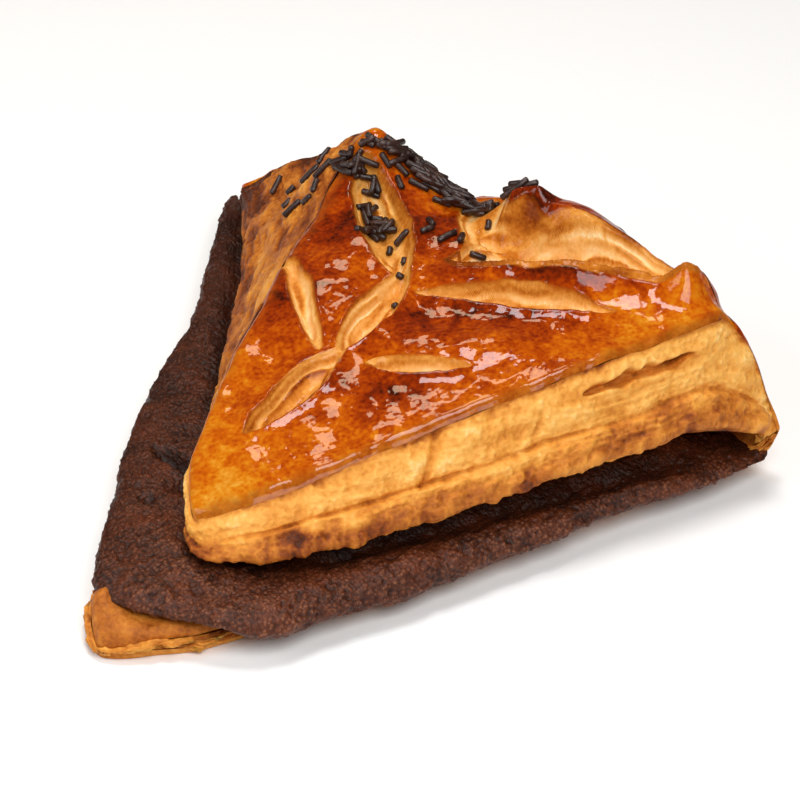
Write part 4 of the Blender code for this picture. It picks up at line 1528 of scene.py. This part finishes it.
@dataclass(frozen=True)
class Vermicelli:
    """Short chocolate rods that lie on the pastry and on each other round the peak. The single
    ones have a place in plan, a heading in degrees and a length."""

    radius: float = 0.65
    sides: int = 10
    bevel: float = 0.22
    bend: float = 0.2
    sink: float = 0.15
    crowding: float = 1.7
    pile: float = 1.1  # how many radii a rod rises for each one under it
    rest_reach: float = 0.4  # share of a rod, either way, at which it rests
    rest_slope: float = 0.95
    drop_height: float = 200.0
    seed: int = 11
    patches: tuple[Sprinkling, ...] = (
        Sprinkling((-31.0, 27.5), 8.0, 2.6, 145.0, 80.0, 24, (3.2, 5.2)),  # in the upper leaf
        Sprinkling((-38.5, 33.0), 5.5, 2.2, 40.0, 50.0, 15, (3.0, 5.4)),  # in front of the peak
        Sprinkling((-30.0, 39.5), 5.5, 2.4, 25.0, 60.0, 20, (3.2, 5.4)),  # behind its right side
        Sprinkling((-21.0, 40.0), 8.5, 2.8, 12.0, 32.0, 40, (3.6, 5.6)),  # heaped along the ridge
    )
    singles: tuple[tuple[float, float, float, float], ...] = (
        (-69.0, 39.0, 100.0, 4.6), (-62.0, 36.0, 70.0, 2.4), (-57.0, 29.5, 80.0, 2.6),
        (-51.2, 25.0, 60.0, 4.8), (-47.5, 25.5, 20.0, 3.0), (-46.5, 27.0, 110.0, 3.2),
        (-54.0, 33.5, 62.0, 5.2), (-47.5, 30.5, 62.0, 5.2), (-54.0, 38.0, 95.0, 4.6),
        (-29.3, 33.7, -30.0, 3.6), (-16.8, 28.6, -25.0, 2.8), (-15.6, 26.2, 70.0, 3.0),
        (-11.0, 26.8, 75.0, 4.4), (-8.4, 28.0, 120.0, 3.6), (-4.6, 28.6, 38.0, 3.4),
        (-8.4, 36.2, -60.0, 2.2), (-21.5, 21.5, 120.0, 2.0), (-20.4, 24.0, 65.0, 4.0),
        (-27.5, 20.0, -75.0, 5.4), (-5.4, 40.6, 52.0, 6.6), (-4.8, 41.8, 30.0, 7.4),
        (-6.0, 42.0, 20.0, 3.4), (-15.7, 19.2, 120.0, 1.7), (-11.8, 13.6, 30.0, 1.6),
        (-8.6, 8.5, 160.0, 1.5),
    )

    def _rod(
        self, rods: BMesh, length: float, bend: float, direction: Vector, place: Vector
    ) -> None:
        """Add one rod.

        Args:
            rods: The mesh that takes it.
            length: Its length in millimetres.
            bend: How far its middle bows out, in millimetres.
            direction: Which way it lies.
            place: Its middle, in metres.
        """
        built = bmesh.new()
        bmesh.ops.create_cone(
            built,
            cap_ends=True,
            segments=self.sides,
            radius1=self.radius * MM,
            radius2=self.radius * MM,
            depth=length * MM,
        )
        bmesh.ops.bevel(
            built,
            geom=[e for e in built.edges if abs(e.verts[0].co.z - e.verts[1].co.z) < 1e-7],
            offset=self.bevel * MM,
            segments=1,
            profile=0.5,
            affect="EDGES",
            material=-1,
        )
        half = length * MM * 0.5
        long_edges = [e for e in built.edges if abs(e.verts[0].co.z - e.verts[1].co.z) > half]
        bmesh.ops.subdivide_edges(built, edges=long_edges, cuts=2, use_grid_fill=True)
        for vert in built.verts:
            vert.co.x += bend * MM * (1.0 - (2.0 * vert.co.z / (length * MM)) ** 2)
        turned = direction.to_track_quat("Z", "Y").to_matrix()
        bmesh.ops.rotate(built, matrix=turned, verts=built.verts)
        bmesh.ops.translate(built, vec=place, verts=built.verts)
        mesh = bpy.data.meshes.new("rod")
        built.to_mesh(mesh)
        built.free()
        rods.from_mesh(mesh)
        bpy.data.meshes.remove(mesh)

    def build(self, supports: list[Object], chocolate: Material) -> Object:
        """Drop the rods on the pastry.

        Args:
            supports: The pieces that they lie on.
            chocolate: Their finish.

        Returns:
            One object with all the rods.
        """
        under = bmesh.new()
        for support in supports:
            under.from_mesh(support.data)
        tree = BVHTree.FromBMesh(under)
        under.free()

        def height(x: float, y: float) -> float | None:
            """Find the pastry's height at a plan point.

            Args:
                x: How far right it lies.
                y: How far back it lies.

            Returns:
                The height in millimetres, or None beside the pastry.
            """
            above = Vector(((x + ORIGIN[0]) * MM, (y + ORIGIN[1]) * MM, self.drop_height * MM))
            hit = tree.ray_cast(above, Vector((0.0, 0.0, -1.0)))[0]
            return hit.z / MM if hit else None

        chance = random.Random(self.seed)
        wanted = list(self.singles)
        for patch in self.patches:
            along, left = heading_axes(patch.heading)
            for _ in range(patch.count):
                p = patch.half_length * chance.uniform(-1, 1)
                q = patch.half_width * chance.uniform(-1, 1)
                x = patch.middle[0] + p * along[0] + q * left[0]
                y = patch.middle[1] + p * along[1] + q * left[1]
                heading = patch.heading + chance.uniform(-patch.spread, patch.spread)
                wanted.append((x, y, heading, chance.uniform(*patch.lengths)))
        rods, taken = bmesh.new(), []
        for x, y, heading, length in wanted:
            (ax, ay), _ = heading_axes(heading)
            reach = length * self.rest_reach
            ends = [height(x + way * ax, y + way * ay) for way in (-reach, reach)]
            here = height(x, y)
            if here is None or None in ends:
                continue
            crowd = sum(1 for ox, oy in taken if math.hypot(ox - x, oy - y) < self.crowding)
            lift = self.radius - self.sink + min(crowd, 2) * self.radius * self.pile
            slope = math.atan2(ends[1] - ends[0], 2 * reach) * self.rest_slope
            direction = Vector((ax * math.cos(slope), ay * math.cos(slope), math.sin(slope)))
            level = max(here, (ends[0] + ends[1]) / 2) + lift
            place = (Vector((x, y, level)) + Vector(ORIGIN)) * MM
            self._rod(rods, length, chance.uniform(-self.bend, self.bend), direction, place)
            taken.append((x, y))
        bmesh.ops.recalc_face_normals(rods, faces=rods.faces)
        obj = as_object("chocolate_rods", rods, chocolate)
        obj.data.shade_smooth()
        LOG.info("%d rods of vermicelli", len(taken))
        return obj


@dataclass(frozen=True)
class Studio:
    """A white floor, soft lights and the camera at the photograph's angle. Places and sizes are in
    millimetres, angles in degrees and the lights' strength in watts."""

    target: Place = (17.3, 10.86, 18.0)
    distance: float = 520.0
    azimuth: float = 41.0
    elevation: float = 34.0
    lens: float = 121.68
    sensor: float = 36.0
    clip: Point = (10.0, 20000.0)
    floor_size: float = 3000.0
    floor_gap: float = 0.1
    ambient: float = 0.07
    window_tint: Place = (1.0, 0.80, 0.55)
    lights: tuple[tuple[str, Place, Point, float], ...] = (
        ("window", (-316.0, 269.0, 574.0), (125.0, 125.0), 0.5),
        ("card_above", (-90.0, 110.0, 860.0), (260.0, 260.0), 3.0),
        ("card_right", (440.0, -270.0, 620.0), (460.0, 460.0), 4.6),
        ("card_left", (-330.0, -560.0, 480.0), (460.0, 400.0), 2.2),
    )

    def add_camera(self) -> None:
        """Set the camera at the photograph's place."""
        a, e = math.radians(self.azimuth), math.radians(self.elevation)
        back = Vector((math.sin(a) * math.cos(e), -math.cos(a) * math.cos(e), math.sin(e)))
        camera = bpy.data.objects.new("camera", bpy.data.cameras.new("camera"))
        camera.location = (Vector(self.target) + back * self.distance) * MM
        camera.rotation_mode = "QUATERNION"
        camera.rotation_quaternion = (-back).to_track_quat("-Z", "Y")
        camera.data.lens = self.lens
        camera.data.sensor_width = self.sensor
        camera.data.clip_start, camera.data.clip_end = (end * MM for end in self.clip)
        bpy.context.scene.collection.objects.link(camera)
        bpy.context.scene.camera = camera

    def add_lights(self) -> None:
        """Set the soft boxes and the even light of a white room."""
        for name, place, (width, height), power in self.lights:
            data = bpy.data.lights.new(name, "AREA")
            data.shape = "RECTANGLE"
            data.size, data.size_y, data.energy = width * MM, height * MM, power
            if name == "window":
                data.color = self.window_tint
            light = bpy.data.objects.new(name, data)
            light.location = Vector(place) * MM
            aim = Vector(self.target) * MM - light.location
            light.rotation_mode = "QUATERNION"
            light.rotation_quaternion = aim.to_track_quat("-Z", "Y")
            bpy.context.scene.collection.objects.link(light)
        world = bpy.data.worlds.new("white_room")
        world.use_nodes = True
        background = world.node_tree.nodes["Background"]
        background.inputs["Color"].default_value = linear("#fdfdff")
        background.inputs["Strength"].default_value = self.ambient
        bpy.context.scene.world = world
        bpy.context.scene.view_settings.view_transform = "Standard"

    def add_floor(self, card: Material) -> None:
        """Lay the floor.

        Args:
            card: Its finish.
        """
        built = bmesh.new()
        bmesh.ops.create_grid(built, x_segments=4, y_segments=4, size=self.floor_size * MM)
        bmesh.ops.translate(built, vec=(0.0, 0.0, -self.floor_gap * MM), verts=built.verts)
        as_object("floor", built, card)


def attach(piece: Object, nodes: tuple[str, ...]) -> Object:
    """Let a piece ride on the part and stand for its nodes.

    Args:
        piece: The finished piece.
        nodes: The part's nodes that it stands for.

    Returns:
        The same piece.
    """
    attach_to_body(piece, "root")
    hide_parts(*nodes)
    LOG.info("%s: %d faces", piece.name, len(piece.data.polygons))
    return piece


def main() -> None:
    """Build the pieces in order."""
    logging.basicConfig(level=logging.INFO, format="%(name)s: %(message)s")
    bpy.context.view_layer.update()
    crust, layers = EggWashedCrust().build(), BakedLayers().build()
    sheet = FoldedSheet()
    upper = UpperSkin(sheet)
    skin = attach(upper.build(crust), ("pastry",))
    back = attach(FoldAndBase(sheet, upper).build(crust), ("pastry",))
    walls = attach(CutEdge(sheet, upper, upper=True).build(layers), ("pastry",))
    rims = CutEdge(sheet, upper, upper=False, cells=(900, 26))
    attach(rims.build(layers), ("pastry",))
    attach(InnerFaces(sheet).build(layers), ("pastry",))
    attach(CocoaLayer(sheet).build(CocoaCake().build()), ("cocoa_filling",))
    rods = Vermicelli().build([skin, back, walls], ChocolateRods().build())
    attach(rods, ("pastry",))
    studio = Studio()
    studio.add_floor(MattCard().build())
    studio.add_lights()
    studio.add_camera()


if __name__ == "__main__":
    main()
